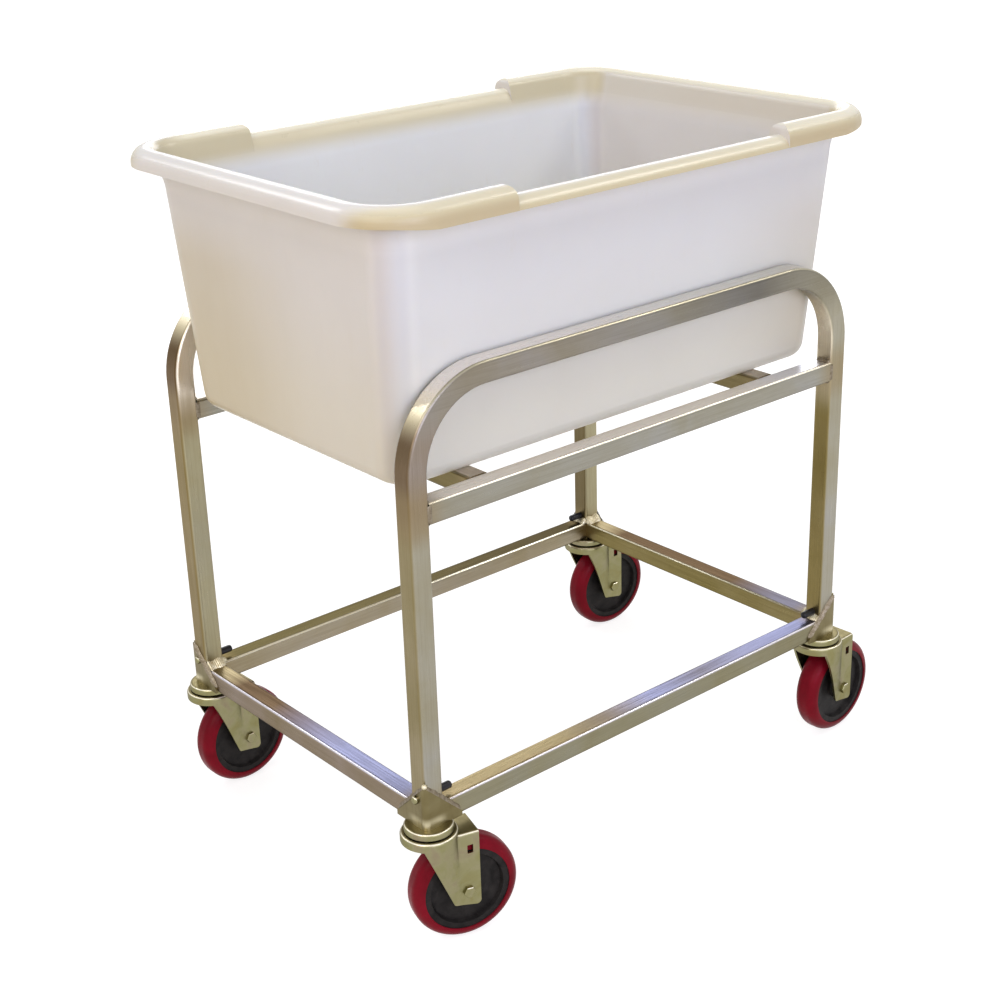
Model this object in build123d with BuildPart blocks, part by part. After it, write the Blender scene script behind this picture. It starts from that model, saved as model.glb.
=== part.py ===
from build123d import *
import os
from math import acos, atan2, cos, radians, sin, sqrt, tan

# A bulk mover: a moulded tub that lifts off a welded tube frame on four swivel casters.
# Sizes are in millimetres. X runs along the cart, Y across it and Z up from the floor.
# The near end is at -X and the near side at -Y. Each caster is drawn with its swivel axis
# at X = Y = 0 and its wheel trailing towards +X, and then put under its own leg.

# Fits
RUNNING_CLEARANCE = 0.05  # radial, on the axle and the king pin
FIXED_CLEARANCE = 0.1  # radial, round a bolt that is clamped
FREE_GAP = 0.3  # between faces that pass each other
BALL_SEAT_GAP = 0.05  # between a ball and the race over it

# Wheel
WHEEL_RADIUS = 63.5
TREAD_WIDTH = 32.0
TREAD_SHOULDER = 12.0
TREAD_DEPTH = 12.5
RIM_BAND = 7.0  # radial height of the raised band next to the tread
RIM_SETBACK = 1.5  # from the side of the tread to the face of the band
WEB_SETBACK = 6.5  # from the side of the tread to the face of the web
HUB_RADIUS = 15.0
HUB_PROUD = 1.2  # the hub stands this far out from the side of the tread
CORE_DRAFT = 2.0  # radial run of the sloping steps in the core
BUSH_WALL = 1.8

# Axle
AXLE_RADIUS = 4.7
AXLE_HEX = 12.7  # across flats
AXLE_HEAD = 3.5
AXLE_NUT = 6.5
AXLE_THREAD_PROUD = 1.5
HEX_CHAMFER = 0.7

# Fork
TRAIL = 36.5
FORK_SHEET = 3.0
CROWN_OVER_WHEEL = 14.5  # from the top of the wheel to the underside of the crown
CROWN_RADIUS = 32.5
CROWN_SKIRT = 10.5  # height of the crown's edge
CROWN_EDGE = 4.0  # pressed radius along the crown's top edge
CROWN_BLEND = 6.0  # radius in plan of the hollow corner between the crown and its tail
CROWN_SPLIT = 128.0  # degrees from the tail, where the flare of a leg gives way to the front skirt
TAIL_DROP = 5.0  # from the top of the crown to the top of its tail
TAIL_EDGE = 3.5  # pressed radius along the tail's top edges
LEG_REAR = 14.0  # behind the axle
LEG_FRONT = 18.1  # ahead of the axle, at the bottom
LEG_UNDER = 13.5  # below the axle, at the front
LEG_UNDER_REAR = 20.0  # below the axle, at the rear
LEG_TOP_FRONT = 17.0  # ahead of the swivel axis, where the leg meets the skirt
LEG_FLARE = 1.0  # sideways, that is left of the flare at the foot
LEG_FLARE_START = 0.05  # of it at the back of the flare
LEG_CORNER = 5.0
FORK_HOLE_LENGTH = 7.0
FORK_HOLE_HEIGHT = 10.7
FORK_HOLE_BEHIND_AXLE = 3.0
FORK_HOLE_BELOW_CROWN = 26.0
FORK_HOLE_CORNER = 1.0

# Swivel
RACE_RADIUS = 28.0
RACE_SHEET = 3.0
RACE_HEIGHT = 7.7
RACE_EDGE = 3.5
RACE_LIP = 1.2
RACE_OVER_CROWN = 1.8
BALL_CIRCLE = 20.5
BALL_COUNT = 8
PIN_RADIUS = 6.0
KING_NUT_HEX = 19.0
KING_NUT_HEIGHT = 8.0
PIN_UNDER_NUT = 1.5
PIN_CHAMFER = 1.0
STEM_CLEARANCE = 0.15
STEM_HEIGHT = 64.0

# Frame
TUBE = 25.4
TUBE_WALL = 1.65
TUBE_CORNER = 4.0
FRAME_LENGTH = 679.0
MID_RAIL_RISE = 352.0  # from the bottom of the legs to the underside of the mid rails
LOOP_RISE = 132.6  # from the top of the mid rails to the top of the loops
BEND_RADIUS = 94.0  # centreline
CROSS_RAIL_NEAR_X = -228.5
CROSS_RAIL_FAR_X = 220.0
LOOP_CLEARANCE = 1.8  # between the tub's wall and the top of a loop

# Corner gussets and stem bolts
GUSSET_SHEET = 3.0
GUSSET_REACH = 51.0
GUSSET_HEIGHT = 56.0
GUSSET_END = 6.0
BOLT_RADIUS = 3.15
BOLT_RISE = 34.3  # above the bottom of the leg
BOLT_HEAD_RADIUS = 4.75
BOLT_HEAD_HEIGHT = 4.0
BOLT_HEAD_ROUND = 2.5
BOLT_PROUD = 12.0
CAP_RADIUS = 4.5
CAP_LENGTH = 20.0
CAP_ROUND = 3.0

# Tub
TUB_HEIGHT = 307.0  # from the cross rails to the crest of the rim
TUB_BASE_LENGTH = 648.2  # where the outside of the walls would meet the bottom
TUB_BASE_WIDTH = 391.6
TUB_BASE_CORNER = 36.0
TUB_BOTTOM_ROUND = 20.0
TUB_WALL = 4.5
TUB_FLOOR = 5.0
LIP_LENGTH = 746.4
LIP_WIDTH = 505.8
LIP_CORNER = 73.8
LIP_DEPTH = 24.8  # from the crest to the lower edge of the lip on the long sides
LIP_END_LIFT = 5.2  # the lower edge is higher by this much round the ends
LIP_RAMP = 46.0  # length of the slope between the two, in the corners
RIM_OVERHANG = 35.7  # from the outside of the wall to the edge of the lip
CREST_INSET = 17.0  # also the radius of the roll outside the crest
ROLL_INSIDE = 14.0  # radius of the roll inside the crest
ROLL_TURN = 55.0  # degrees that it turns through before the gentler flare of the wall
STEP_DROP = 11.8  # the rim is lower by this much along the middle of the long sides
STEP_FOOT_X = 200.0
STEP_ROUND = 8.0
RUN_BITE = 0.6  # how deep the straight run inside a high stretch passes into the flare of the wall
RIM_BASE_MARGIN = 5.0  # straight wall left under the flare
WALL_LEAN = 4.0  # degrees, of that straight wall: between the leans of the long walls and of the ends
LIP_CUT_WIDTH = 18.0  # of the cuts that shape the lower edge of the lip

# Where the casters stand: side along X, side along Y, and the swivel angle in degrees
CORNERS = {
    "front": (-1, -1, -16.2),
    "left": (-1, 1, 1.5),
    "right": (1, -1, 3.0),
    "far": (1, 1, -4.0),
}

# Heights, from the floor up
AXLE_Z = WHEEL_RADIUS
CROWN_TOP = 2 * WHEEL_RADIUS + CROWN_OVER_WHEEL + FORK_SHEET
SKIRT_BOTTOM = CROWN_TOP - CROWN_SKIRT
RACE_BOTTOM = CROWN_TOP + RACE_OVER_CROWN
LEG_BOTTOM = RACE_BOTTOM + RACE_HEIGHT
BOLT_Z = LEG_BOTTOM + BOLT_RISE
MID_RAIL_Z = LEG_BOTTOM + MID_RAIL_RISE + TUBE / 2
TUB_BOTTOM = MID_RAIL_Z + TUBE / 2
LOOP_TOP = TUB_BOTTOM + LOOP_RISE
CREST_Z = TUB_BOTTOM + TUB_HEIGHT
LOW_CREST_Z = CREST_Z - STEP_DROP
LIP_BOTTOM = CREST_Z - LIP_DEPTH
FLARE_INSET = RIM_OVERHANG + TUB_WALL - RIM_BASE_MARGIN * tan(radians(WALL_LEAN))
FLARE_RUN = FLARE_INSET - CREST_INSET - ROLL_INSIDE * sin(radians(ROLL_TURN))
FLARE_RADIUS = FLARE_RUN / (cos(radians(WALL_LEAN)) - sin(radians(ROLL_TURN)))
FLARE_CENTRE_X = FLARE_INSET - FLARE_RADIUS * cos(radians(WALL_LEAN))
FLARE_CENTRE_Z = LOW_CREST_Z - ROLL_INSIDE - (FLARE_RADIUS - ROLL_INSIDE) * cos(radians(ROLL_TURN))
RIM_BASE = FLARE_CENTRE_Z + FLARE_RADIUS * sin(radians(WALL_LEAN)) - RIM_BASE_MARGIN
FLOOR_TOP = TUB_BOTTOM + TUB_FLOOR

# Widths: the tub's wall at the top of the loops sets the width of the frame
RIM_BASE_LENGTH = LIP_LENGTH - 2 * RIM_OVERHANG
RIM_BASE_WIDTH = LIP_WIDTH - 2 * RIM_OVERHANG
RIM_BASE_CORNER = LIP_CORNER - RIM_OVERHANG
WALL_SPREAD = (RIM_BASE_WIDTH - TUB_BASE_WIDTH) / (RIM_BASE - TUB_BOTTOM)
WALL_WIDTH_AT_LOOPS = TUB_BASE_WIDTH + WALL_SPREAD * LOOP_RISE
FRAME_WIDTH = WALL_WIDTH_AT_LOOPS + 2 * (LOOP_CLEARANCE + TUBE)
LEG_X = (FRAME_LENGTH - TUBE) / 2
LEG_Y = (FRAME_WIDTH - TUBE) / 2
LEG_FACE_X = LEG_X - TUBE / 2
LEG_FACE_Y = LEG_Y - TUBE / 2

# Caster sizes that follow from the others
CORE_RADIUS = WHEEL_RADIUS - TREAD_DEPTH
HUB_HALF = TREAD_WIDTH / 2 + HUB_PROUD
FORK_INSIDE = HUB_HALF + FREE_GAP
FORK_OUTSIDE = FORK_INSIDE + FORK_SHEET
BUSH_BORE = AXLE_RADIUS + RUNNING_CLEARANCE
BUSH_RADIUS = BUSH_BORE + BUSH_WALL
RACE_PLATE_BOTTOM = LEG_BOTTOM - RACE_SHEET
BALL_RADIUS = (RACE_PLATE_BOTTOM - BALL_SEAT_GAP - CROWN_TOP - FREE_GAP) / 2
BALL_Z = RACE_PLATE_BOTTOM - BALL_SEAT_GAP - BALL_RADIUS
KING_NUT_TOP = CROWN_TOP - FORK_SHEET - FREE_GAP
PIN_BOTTOM = KING_NUT_TOP - KING_NUT_HEIGHT - PIN_UNDER_NUT
STEM_RADIUS = TUBE / 2 - TUBE_WALL - STEM_CLEARANCE

# The origin is on the floor under the middle of the whole object, so the frame stands off it
# by half of what the trailing casters add at the far end.
FRAME_X = (LIP_LENGTH / 2 - (LEG_X + TRAIL + WHEEL_RADIUS)) / 2
HOME = Location((FRAME_X, 0, 0))


def keep(shape, name, place=Location()):
    """Put a finished piece in its place, name it and write it."""
    piece = HOME * place * shape
    piece.label = name
    export_step(piece, f"parts/{name}.step")


def tube_section():
    """The cross-section of the frame's square tube."""
    inside = TUBE - 2 * TUBE_WALL
    with BuildSketch() as section:
        RectangleRounded(TUBE, TUBE, TUBE_CORNER)
        RectangleRounded(inside, inside, TUBE_CORNER - TUBE_WALL, mode=Mode.SUBTRACT)
    return section.sketch


def rail(start, end):
    """A straight length of tube between two points on its centreline."""
    run = Vector(*end) - Vector(*start)
    with BuildPart() as tube:
        with BuildSketch(Plane(origin=start, x_dir=(0, 0, 1), z_dir=run)):
            add(tube_section())
        extrude(amount=run.length)
    return tube.part


def rail_along(side, z):
    """A rail between the two legs of one side loop."""
    return rail((-LEG_FACE_X, side * LEG_Y, z), (LEG_FACE_X, side * LEG_Y, z))


def rail_across(x, z):
    """A rail from one long side to the other."""
    return rail((x, -LEG_FACE_Y, z), (x, LEG_FACE_Y, z))


def side_loop(side):
    """A tube bent into an inverted U, with a hole for the stem bolt through each leg."""
    y = side * LEG_Y
    top = LOOP_TOP - TUBE / 2
    with BuildPart() as loop:
        with BuildLine(Plane.XZ.offset(-y)):
            FilletPolyline(
                (-LEG_X, LEG_BOTTOM), (-LEG_X, top), (LEG_X, top), (LEG_X, LEG_BOTTOM),
                radius=BEND_RADIUS,
            )
        with BuildSketch(Plane.XY.offset(LEG_BOTTOM)):
            with Locations((-LEG_X, y)):
                add(tube_section())
        sweep()
        with BuildSketch(Plane.YZ):
            with Locations((y, BOLT_Z)):
                Circle(BOLT_RADIUS + FIXED_CLEARANCE)
        extrude(amount=FRAME_LENGTH, both=True, mode=Mode.SUBTRACT)
    return loop.part


def corner_gusset():
    """The folded plate on the corner at +X and +Y. The other corners mirror it."""
    face_x = FRAME_LENGTH / 2
    face_y = FRAME_WIDTH / 2
    outer_x = face_x + GUSSET_SHEET
    outer_y = face_y + GUSSET_SHEET
    end_x = outer_x - GUSSET_REACH
    end_y = outer_y - GUSSET_REACH
    top = LEG_BOTTOM + GUSSET_HEIGHT
    end_top = LEG_BOTTOM + GUSSET_END
    with BuildPart() as plate:
        with BuildSketch(Plane.XY.offset(LEG_BOTTOM)) as fold:
            with BuildLine():
                Polyline(
                    (end_x, outer_y), (outer_x, outer_y), (outer_x, end_y),
                    (face_x, end_y), (face_x, face_y), (end_x, face_y),
                    close=True,
                )
            make_face()
            along_diagonal = fold.vertices().sort_by(Axis((0, 0, 0), (1, 1, 0)))
            fillet(along_diagonal[-1], TUBE_CORNER + GUSSET_SHEET)
            inner_corner = fold.vertices().sort_by_distance((face_x, face_y, 0))[0]
            fillet(inner_corner, TUBE_CORNER)
        extrude(amount=GUSSET_HEIGHT)
        with BuildSketch(Plane.XZ.offset(-outer_y)):
            Polygon((outer_x, top), (end_x, top), (end_x, end_top), align=None)
        extrude(amount=GUSSET_SHEET, mode=Mode.SUBTRACT)
        with BuildSketch(Plane.YZ.offset(face_x)):
            Polygon((outer_y, top), (end_y, top), (end_y, end_top), align=None)
        extrude(amount=GUSSET_SHEET, mode=Mode.SUBTRACT)
        with BuildSketch(Plane.YZ.offset(face_x)):
            with Locations((LEG_Y, BOLT_Z)):
                Circle(BOLT_RADIUS + FIXED_CLEARANCE)
        extrude(amount=GUSSET_SHEET, mode=Mode.SUBTRACT)
    return plate.part


def stem_bolts():
    """The four cross bolts, each with a round head outside its gusset."""
    head_x = FRAME_LENGTH / 2 + GUSSET_SHEET
    with BuildPart() as bolts:
        with BuildSketch(Plane.YZ.offset(head_x)):
            with Locations((LEG_Y, BOLT_Z)):
                Circle(BOLT_HEAD_RADIUS)
        extrude(amount=BOLT_HEAD_HEIGHT)
        fillet(bolts.faces().sort_by(Axis.X)[-1].edges(), BOLT_HEAD_ROUND)
        with BuildSketch(Plane.YZ.offset(LEG_FACE_X - BOLT_PROUD)):
            with Locations((LEG_Y, BOLT_Z)):
                Circle(BOLT_RADIUS)
        extrude(until=Until.NEXT)
        mirror(about=Plane.YZ)
        mirror(about=Plane.XZ)
    return bolts.part


def bolt_caps():
    """The four round-ended caps over the threads on the inside of the legs."""
    with BuildPart() as caps:
        with BuildSketch(Plane.YZ.offset(LEG_FACE_X)):
            with Locations((LEG_Y, BOLT_Z)):
                Circle(CAP_RADIUS)
        extrude(amount=-CAP_LENGTH)
        fillet(caps.faces().sort_by(Axis.X)[0].edges(), CAP_ROUND)
        with BuildSketch(Plane.YZ.offset(LEG_FACE_X)):
            with Locations((LEG_Y, BOLT_Z)):
                Circle(BOLT_RADIUS + FIXED_CLEARANCE)
        extrude(amount=-BOLT_PROUD - FREE_GAP, mode=Mode.SUBTRACT)
        mirror(about=Plane.YZ)
        mirror(about=Plane.XZ)
    return caps.part


def caster_stem():
    """The round stem inside a leg, turned down below to the king pin, with a cross hole for the bolt."""
    with BuildPart() as stem:
        with BuildSketch(Plane.XY.offset(LEG_BOTTOM)):
            Circle(STEM_RADIUS)
        extrude(amount=STEM_HEIGHT)
        chamfer(stem.faces().sort_by(Axis.Z)[-1].edges(), PIN_CHAMFER)
        with BuildSketch(Plane.XY.offset(PIN_BOTTOM)):
            Circle(PIN_RADIUS)
        extrude(amount=LEG_BOTTOM - PIN_BOTTOM)
        chamfer(stem.faces().sort_by(Axis.Z)[0].edges(), PIN_CHAMFER)
        with BuildSketch(Plane.YZ):
            with Locations((0, BOLT_Z)):
                Circle(BOLT_RADIUS + FIXED_CLEARANCE)
        extrude(amount=TUBE, both=True, mode=Mode.SUBTRACT)
    return stem.part


def upper_race():
    """The pressed disc under a leg, an upturned cup with a rolled edge that covers the balls."""
    inside = RACE_RADIUS - RACE_SHEET
    with BuildPart() as race:
        with BuildSketch(Plane.XZ) as section:
            with BuildLine():
                Polyline(
                    (PIN_RADIUS, LEG_BOTTOM), (RACE_RADIUS, LEG_BOTTOM), (RACE_RADIUS, RACE_BOTTOM),
                    (inside, RACE_BOTTOM), (inside, RACE_PLATE_BOTTOM), (PIN_RADIUS, RACE_PLATE_BOTTOM),
                    close=True,
                )
            make_face()
            outer = section.vertices().group_by(Axis.X)[-1].sort_by(Axis.Y)
            fillet(outer[-1], RACE_EDGE)
            fillet(outer[0], RACE_LIP)
        revolve(axis=Axis.Z)
    return race.part


def caster_balls():
    """The ball row of each caster, seated under its upper race."""
    with BuildPart() as balls:
        with GridLocations(2 * LEG_X, 2 * LEG_Y, 2, 2):
            with PolarLocations(BALL_CIRCLE, BALL_COUNT):
                with Locations((0, 0, BALL_Z)):
                    Sphere(BALL_RADIUS)
    return balls.part


def king_nut():
    """The nut on the end of the king pin, under the fork."""
    with BuildPart() as nut:
        with BuildSketch(Plane.XY.offset(KING_NUT_TOP)):
            RegularPolygon(KING_NUT_HEX / 2, 6, major_radius=False)
            Circle(PIN_RADIUS, mode=Mode.SUBTRACT)
        extrude(amount=-KING_NUT_HEIGHT)
    return nut.part


def crown_corner(inset):
    """The two ends of the rounded corner in plan: on the side of the tail, and on the crown's disc."""
    centre_y = FORK_OUTSIDE + CROWN_BLEND
    centre = Vector(sqrt((CROWN_RADIUS + CROWN_BLEND) ** 2 - centre_y**2), centre_y)
    on_tail = Vector(centre.X, FORK_OUTSIDE - inset)
    on_disc = centre.normalized() * (CROWN_RADIUS - inset)
    return on_tail, on_disc


def crown_plan(inset, rear):
    """Plan of the fork at its crown: a disc round the swivel axis with a straight tail."""
    radius = CROWN_RADIUS - inset
    half_width = FORK_OUTSIDE - inset
    on_tail, on_disc = crown_corner(inset)
    split = Vector(radius * cos(radians(CROWN_SPLIT)), radius * sin(radians(CROWN_SPLIT)))
    with BuildSketch() as plan:
        with BuildLine():
            Line((rear, half_width), on_tail)
            TangentArc(on_tail, on_disc, tangent=(-1, 0))
            RadiusArc(on_disc, split, -radius)
            mirror(about=Plane.XZ)
            Line((rear, -half_width), (rear, half_width))
            ThreePointArc(split, (-radius, 0), (split.X, -split.Y))
        make_face()
    return plan.sketch


def strip_plan(inset, rear):
    """Plan of the fork at the foot of its legs, with an edge to match each edge of the crown's plan."""
    half_width = FORK_OUTSIDE - inset
    on_tail, on_disc = crown_corner(inset)
    front = (CROWN_RADIUS - inset) * cos(radians(CROWN_SPLIT))
    with BuildSketch() as plan:
        with BuildLine():
            Polyline(
                (rear, half_width), on_tail,
                (on_disc.X, half_width + LEG_FLARE_START), (front, half_width + LEG_FLARE),
            )
            mirror(about=Plane.XZ)
            Line((rear, -half_width), (rear, half_width))
            Line((front, half_width + LEG_FLARE), (front, -half_width - LEG_FLARE))
        make_face()
    return plan.sketch


def fork():
    """The pressed fork: a round crown with a lower tail, and two legs that flare at the front to meet it."""
    rear = TRAIL + LEG_REAR
    past_rear = rear + FORK_SHEET
    foot = AXLE_Z - LEG_UNDER_REAR - FORK_SHEET
    tail_skirt = CROWN_SKIRT - TAIL_DROP
    with BuildPart() as pressed:
        with BuildSketch(Plane.XY.offset(foot)):
            add(strip_plan(0, rear))
        with BuildSketch(Plane.XY.offset(SKIRT_BOTTOM)):
            add(crown_plan(0, rear))
        loft(ruled=True)
        with BuildSketch(Plane.XZ) as side:
            with BuildLine():
                Polyline(
                    (-LEG_TOP_FRONT, SKIRT_BOTTOM), (TRAIL - LEG_FRONT, AXLE_Z - LEG_UNDER),
                    (rear, AXLE_Z - LEG_UNDER_REAR), (rear, SKIRT_BOTTOM),
                    close=True,
                )
            make_face()
            fillet(side.vertices().sort_by(Axis.Y)[:2], LEG_CORNER)
        extrude(amount=CROWN_RADIUS, both=True, mode=Mode.INTERSECT)
        with BuildSketch(Plane.XY.offset(SKIRT_BOTTOM)):
            add(crown_plan(0, rear))
        extrude(amount=tail_skirt)
        top_edges = pressed.faces().sort_by(Axis.Z)[-1].edges()
        fillet(top_edges.sort_by(Axis.X)[:-1], TAIL_EDGE)
        with BuildSketch(Plane.XY.offset(SKIRT_BOTTOM)):
            Circle(CROWN_RADIUS)
        extrude(amount=CROWN_SKIRT)
        fillet(pressed.faces().sort_by(Axis.Z)[-1].edges(), CROWN_EDGE)
        # The inside follows the outside at the thickness of the sheet and is open at the rear
        with BuildSketch(Plane.XY.offset(foot)):
            add(strip_plan(FORK_SHEET, past_rear))
        with BuildSketch(Plane.XY.offset(SKIRT_BOTTOM)):
            add(crown_plan(FORK_SHEET, past_rear))
        loft(ruled=True, mode=Mode.SUBTRACT)
        with BuildSketch(Plane.XY.offset(SKIRT_BOTTOM)):
            add(crown_plan(FORK_SHEET, past_rear))
        extrude(amount=tail_skirt - FORK_SHEET, mode=Mode.SUBTRACT)
        with BuildSketch(Plane.XY.offset(SKIRT_BOTTOM)):
            Circle(CROWN_RADIUS - FORK_SHEET)
        extrude(amount=CROWN_SKIRT - FORK_SHEET, mode=Mode.SUBTRACT)
        with BuildSketch(Plane.XY.offset(CROWN_TOP)):
            Circle(PIN_RADIUS + RUNNING_CLEARANCE)
        extrude(amount=-FORK_SHEET, mode=Mode.SUBTRACT)
        with BuildSketch(Plane.XZ):
            with Locations((TRAIL, AXLE_Z)):
                Circle(AXLE_RADIUS + FIXED_CLEARANCE)
            with Locations((TRAIL + FORK_HOLE_BEHIND_AXLE, CROWN_TOP - FORK_HOLE_BELOW_CROWN)):
                RectangleRounded(FORK_HOLE_LENGTH, FORK_HOLE_HEIGHT, FORK_HOLE_CORNER)
        extrude(amount=CROWN_RADIUS, both=True, mode=Mode.SUBTRACT)
    return pressed.part


def axle_plane(y):
    """A plane square to the axle that looks towards +Y."""
    return Plane(origin=(TRAIL, y, AXLE_Z), x_dir=(1, 0, 0), z_dir=(0, 1, 0))


def axle_bolt():
    """The axle, with a hexagon head against the outside of the fork."""
    length = 2 * FORK_OUTSIDE + AXLE_NUT + AXLE_THREAD_PROUD
    with BuildPart() as bolt:
        with BuildSketch(axle_plane(-FORK_OUTSIDE)):
            RegularPolygon(AXLE_HEX / 2, 6, major_radius=False)
        extrude(amount=-AXLE_HEAD)
        chamfer(bolt.faces().sort_by(Axis.Y)[0].edges(), HEX_CHAMFER)
        with BuildSketch(axle_plane(-FORK_OUTSIDE)):
            Circle(AXLE_RADIUS)
        extrude(amount=length)
        chamfer(bolt.faces().sort_by(Axis.Y)[-1].edges(), HEX_CHAMFER)
    return bolt.part


def axle_nut():
    """The nut on the other end of the axle."""
    with BuildPart() as nut:
        with BuildSketch(axle_plane(FORK_OUTSIDE)):
            RegularPolygon(AXLE_HEX / 2, 6, major_radius=False)
        extrude(amount=AXLE_NUT)
        chamfer(nut.faces().sort_by(Axis.Y)[-1].edges(), HEX_CHAMFER)
        with BuildSketch(axle_plane(FORK_OUTSIDE)):
            Circle(AXLE_RADIUS)
        extrude(amount=AXLE_NUT, mode=Mode.SUBTRACT)
    return nut.part


# Sections of the wheel are drawn with X along the axle and Y outwards from it
WHEEL_SECTION = Plane(origin=(TRAIL, 0, AXLE_Z), x_dir=(0, 1, 0), z_dir=(1, 0, 0))
AXLE_LINE = Axis((TRAIL, 0, AXLE_Z), (0, 1, 0))


def wheel_tread():
    """The tread, with rounded shoulders."""
    with BuildPart() as tread:
        with BuildSketch(WHEEL_SECTION) as section:
            with Locations((0, CORE_RADIUS)):
                Rectangle(TREAD_WIDTH, TREAD_DEPTH, align=(Align.CENTER, Align.MIN))
            fillet(section.vertices().group_by(Axis.Y)[-1], TREAD_SHOULDER)
        revolve(axis=AXLE_LINE)
    return tread.part


def wheel_core():
    """The moulded core: a raised band next to the tread, a recessed web and a long hub."""
    band = TREAD_WIDTH / 2 - RIM_SETBACK
    web = TREAD_WIDTH / 2 - WEB_SETBACK
    band_radius = CORE_RADIUS - RIM_BAND
    with BuildPart() as core:
        with BuildSketch(WHEEL_SECTION):
            with BuildLine():
                Polyline(
                    (0, BUSH_RADIUS), (HUB_HALF, BUSH_RADIUS), (HUB_HALF, HUB_RADIUS),
                    (web, HUB_RADIUS + CORE_DRAFT), (web, band_radius - CORE_DRAFT),
                    (band, band_radius), (band, CORE_RADIUS), (0, CORE_RADIUS),
                    close=True,
                )
            make_face()
            mirror(about=Plane.YZ)
        revolve(axis=AXLE_LINE)
    return core.part


def wheel_bush():
    """The bearing sleeve in the core, which runs on the axle."""
    with BuildPart() as bush:
        with BuildSketch(axle_plane(-HUB_HALF)):
            Circle(BUSH_RADIUS)
            Circle(BUSH_BORE, mode=Mode.SUBTRACT)
        extrude(amount=2 * HUB_HALF)
    return bush.part


def low_rim_section(skin):
    """
    Section of the tub's rim, drawn with X inwards from the edge of the lip and Y as the height:
    a roll over the crest that runs on into the flare of the wall.
    The hollow under the rim has the same section, a skin's thickness in.
    """
    base = RIM_BASE - FREE_GAP if skin else RIM_BASE
    along = Vector(sin(radians(ROLL_TURN)), cos(radians(ROLL_TURN)))
    roll_centre = Vector(CREST_INSET, LOW_CREST_Z - ROLL_INSIDE)
    crest_point = (CREST_INSET, LOW_CREST_Z - skin)
    outer_point = (skin, LOW_CREST_Z - CREST_INSET)
    turn_point = roll_centre + along * (ROLL_INSIDE - skin)
    lean = Vector(cos(radians(WALL_LEAN)), sin(radians(WALL_LEAN)))
    flare_foot = Vector(FLARE_CENTRE_X, FLARE_CENTRE_Z) + lean * (FLARE_RADIUS - skin)
    wall_x = RIM_OVERHANG + TUB_WALL - skin
    foot = [flare_foot, (wall_x, RIM_BASE)]
    if skin:
        foot.append((wall_x, base))
    with BuildSketch() as section:
        with BuildLine():
            TangentArc(crest_point, outer_point, tangent=(-1, 0))
            TangentArc(crest_point, turn_point, tangent=(1, 0))
            TangentArc(turn_point, flare_foot, tangent=(along.Y, -along.X))
            Polyline(*foot, (skin, base), outer_point)
        make_face()
        if not skin:
            with Locations((0, LIP_BOTTOM)):
                Rectangle(LIP_CUT_WIDTH, LIP_LENGTH, align=(Align.CENTER, Align.MAX), mode=Mode.SUBTRACT)
    return section.sketch


def high_rim_section(skin):
    """Section of what the high stretches add: a higher roll, and a straight run down to the same flare."""
    roll_centre = Vector(CREST_INSET, CREST_Z - ROLL_INSIDE)
    flare_centre = Vector(FLARE_CENTRE_X, FLARE_CENTRE_Z)
    foot_radius = FLARE_RADIUS - RUN_BITE
    apart = roll_centre - flare_centre
    lean = atan2(apart.Y, apart.X) - acos((foot_radius - ROLL_INSIDE) / apart.length)
    inwards = Vector(cos(lean), sin(lean))
    crest_point = (CREST_INSET, CREST_Z - skin)
    outer_point = (skin, CREST_Z - CREST_INSET)
    run_top = roll_centre + inwards * (ROLL_INSIDE - skin)
    run_foot = flare_centre + inwards * (foot_radius - skin)
    with BuildSketch() as section:
        with BuildLine():
            TangentArc(crest_point, outer_point, tangent=(-1, 0))
            TangentArc(crest_point, run_top, tangent=(1, 0))
            Polyline(run_top, run_foot, (CREST_INSET, LIP_BOTTOM), (skin, LIP_BOTTOM), outer_point)
        make_face()
    return section.sketch


def lip_trim_section():
    """Section of what is taken off the lower edge of the lip round the ends."""
    with BuildSketch() as section:
        with Locations((TUB_WALL, LIP_BOTTOM + LIP_END_LIFT)):
            Rectangle(LIP_CUT_WIDTH, 2 * LIP_END_LIFT, align=(Align.CENTER, Align.MAX))
    return section.sketch


def step_side(skin):
    """Side view of the high stretches of the rim, which end in a rounded step."""
    centre = (STEP_FOOT_X + STEP_ROUND, CREST_Z + FREE_GAP - STEP_ROUND)
    radius = STEP_ROUND - skin
    foot = centre[0] - radius
    far = LIP_LENGTH
    with BuildSketch() as side:
        with BuildLine():
            TangentArc((foot, centre[1]), (centre[0], centre[1] + radius), tangent=(0, 1))
            Polyline(
                (centre[0], centre[1] + radius), (far, centre[1] + radius), (far, TUB_BOTTOM),
                (foot, TUB_BOTTOM), (foot, centre[1]),
            )
        make_face()
        mirror(about=Plane.YZ)
    return side.sketch


def lip_trim_side():
    """Side view of the two ends, where the lower edge of the lip is higher, with a slope into each."""
    start = LIP_LENGTH / 2 - LIP_CORNER
    lifted = LIP_BOTTOM + LIP_END_LIFT
    far = LIP_LENGTH
    with BuildSketch() as side:
        with BuildLine():
            Polyline(
                (start, LIP_BOTTOM), (start + LIP_RAMP, lifted), (far, lifted + LIP_END_LIFT),
                (far, TUB_BOTTOM), (start, TUB_BOTTOM),
                close=True,
            )
        make_face()
        mirror(about=Plane.YZ)
    return side.sketch


def rim_path():
    """The edge of the lip in plan, and the plane across it for a section."""
    with BuildSketch() as plan:
        RectangleRounded(LIP_LENGTH, LIP_WIDTH, LIP_CORNER)
    edge = plan.sketch.faces()[0].outer_wire()
    along = edge % 0
    inwards = Vector(0, 0, 1).cross(along)
    return edge, Plane(origin=edge @ 0, x_dir=inwards, z_dir=along)


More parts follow.
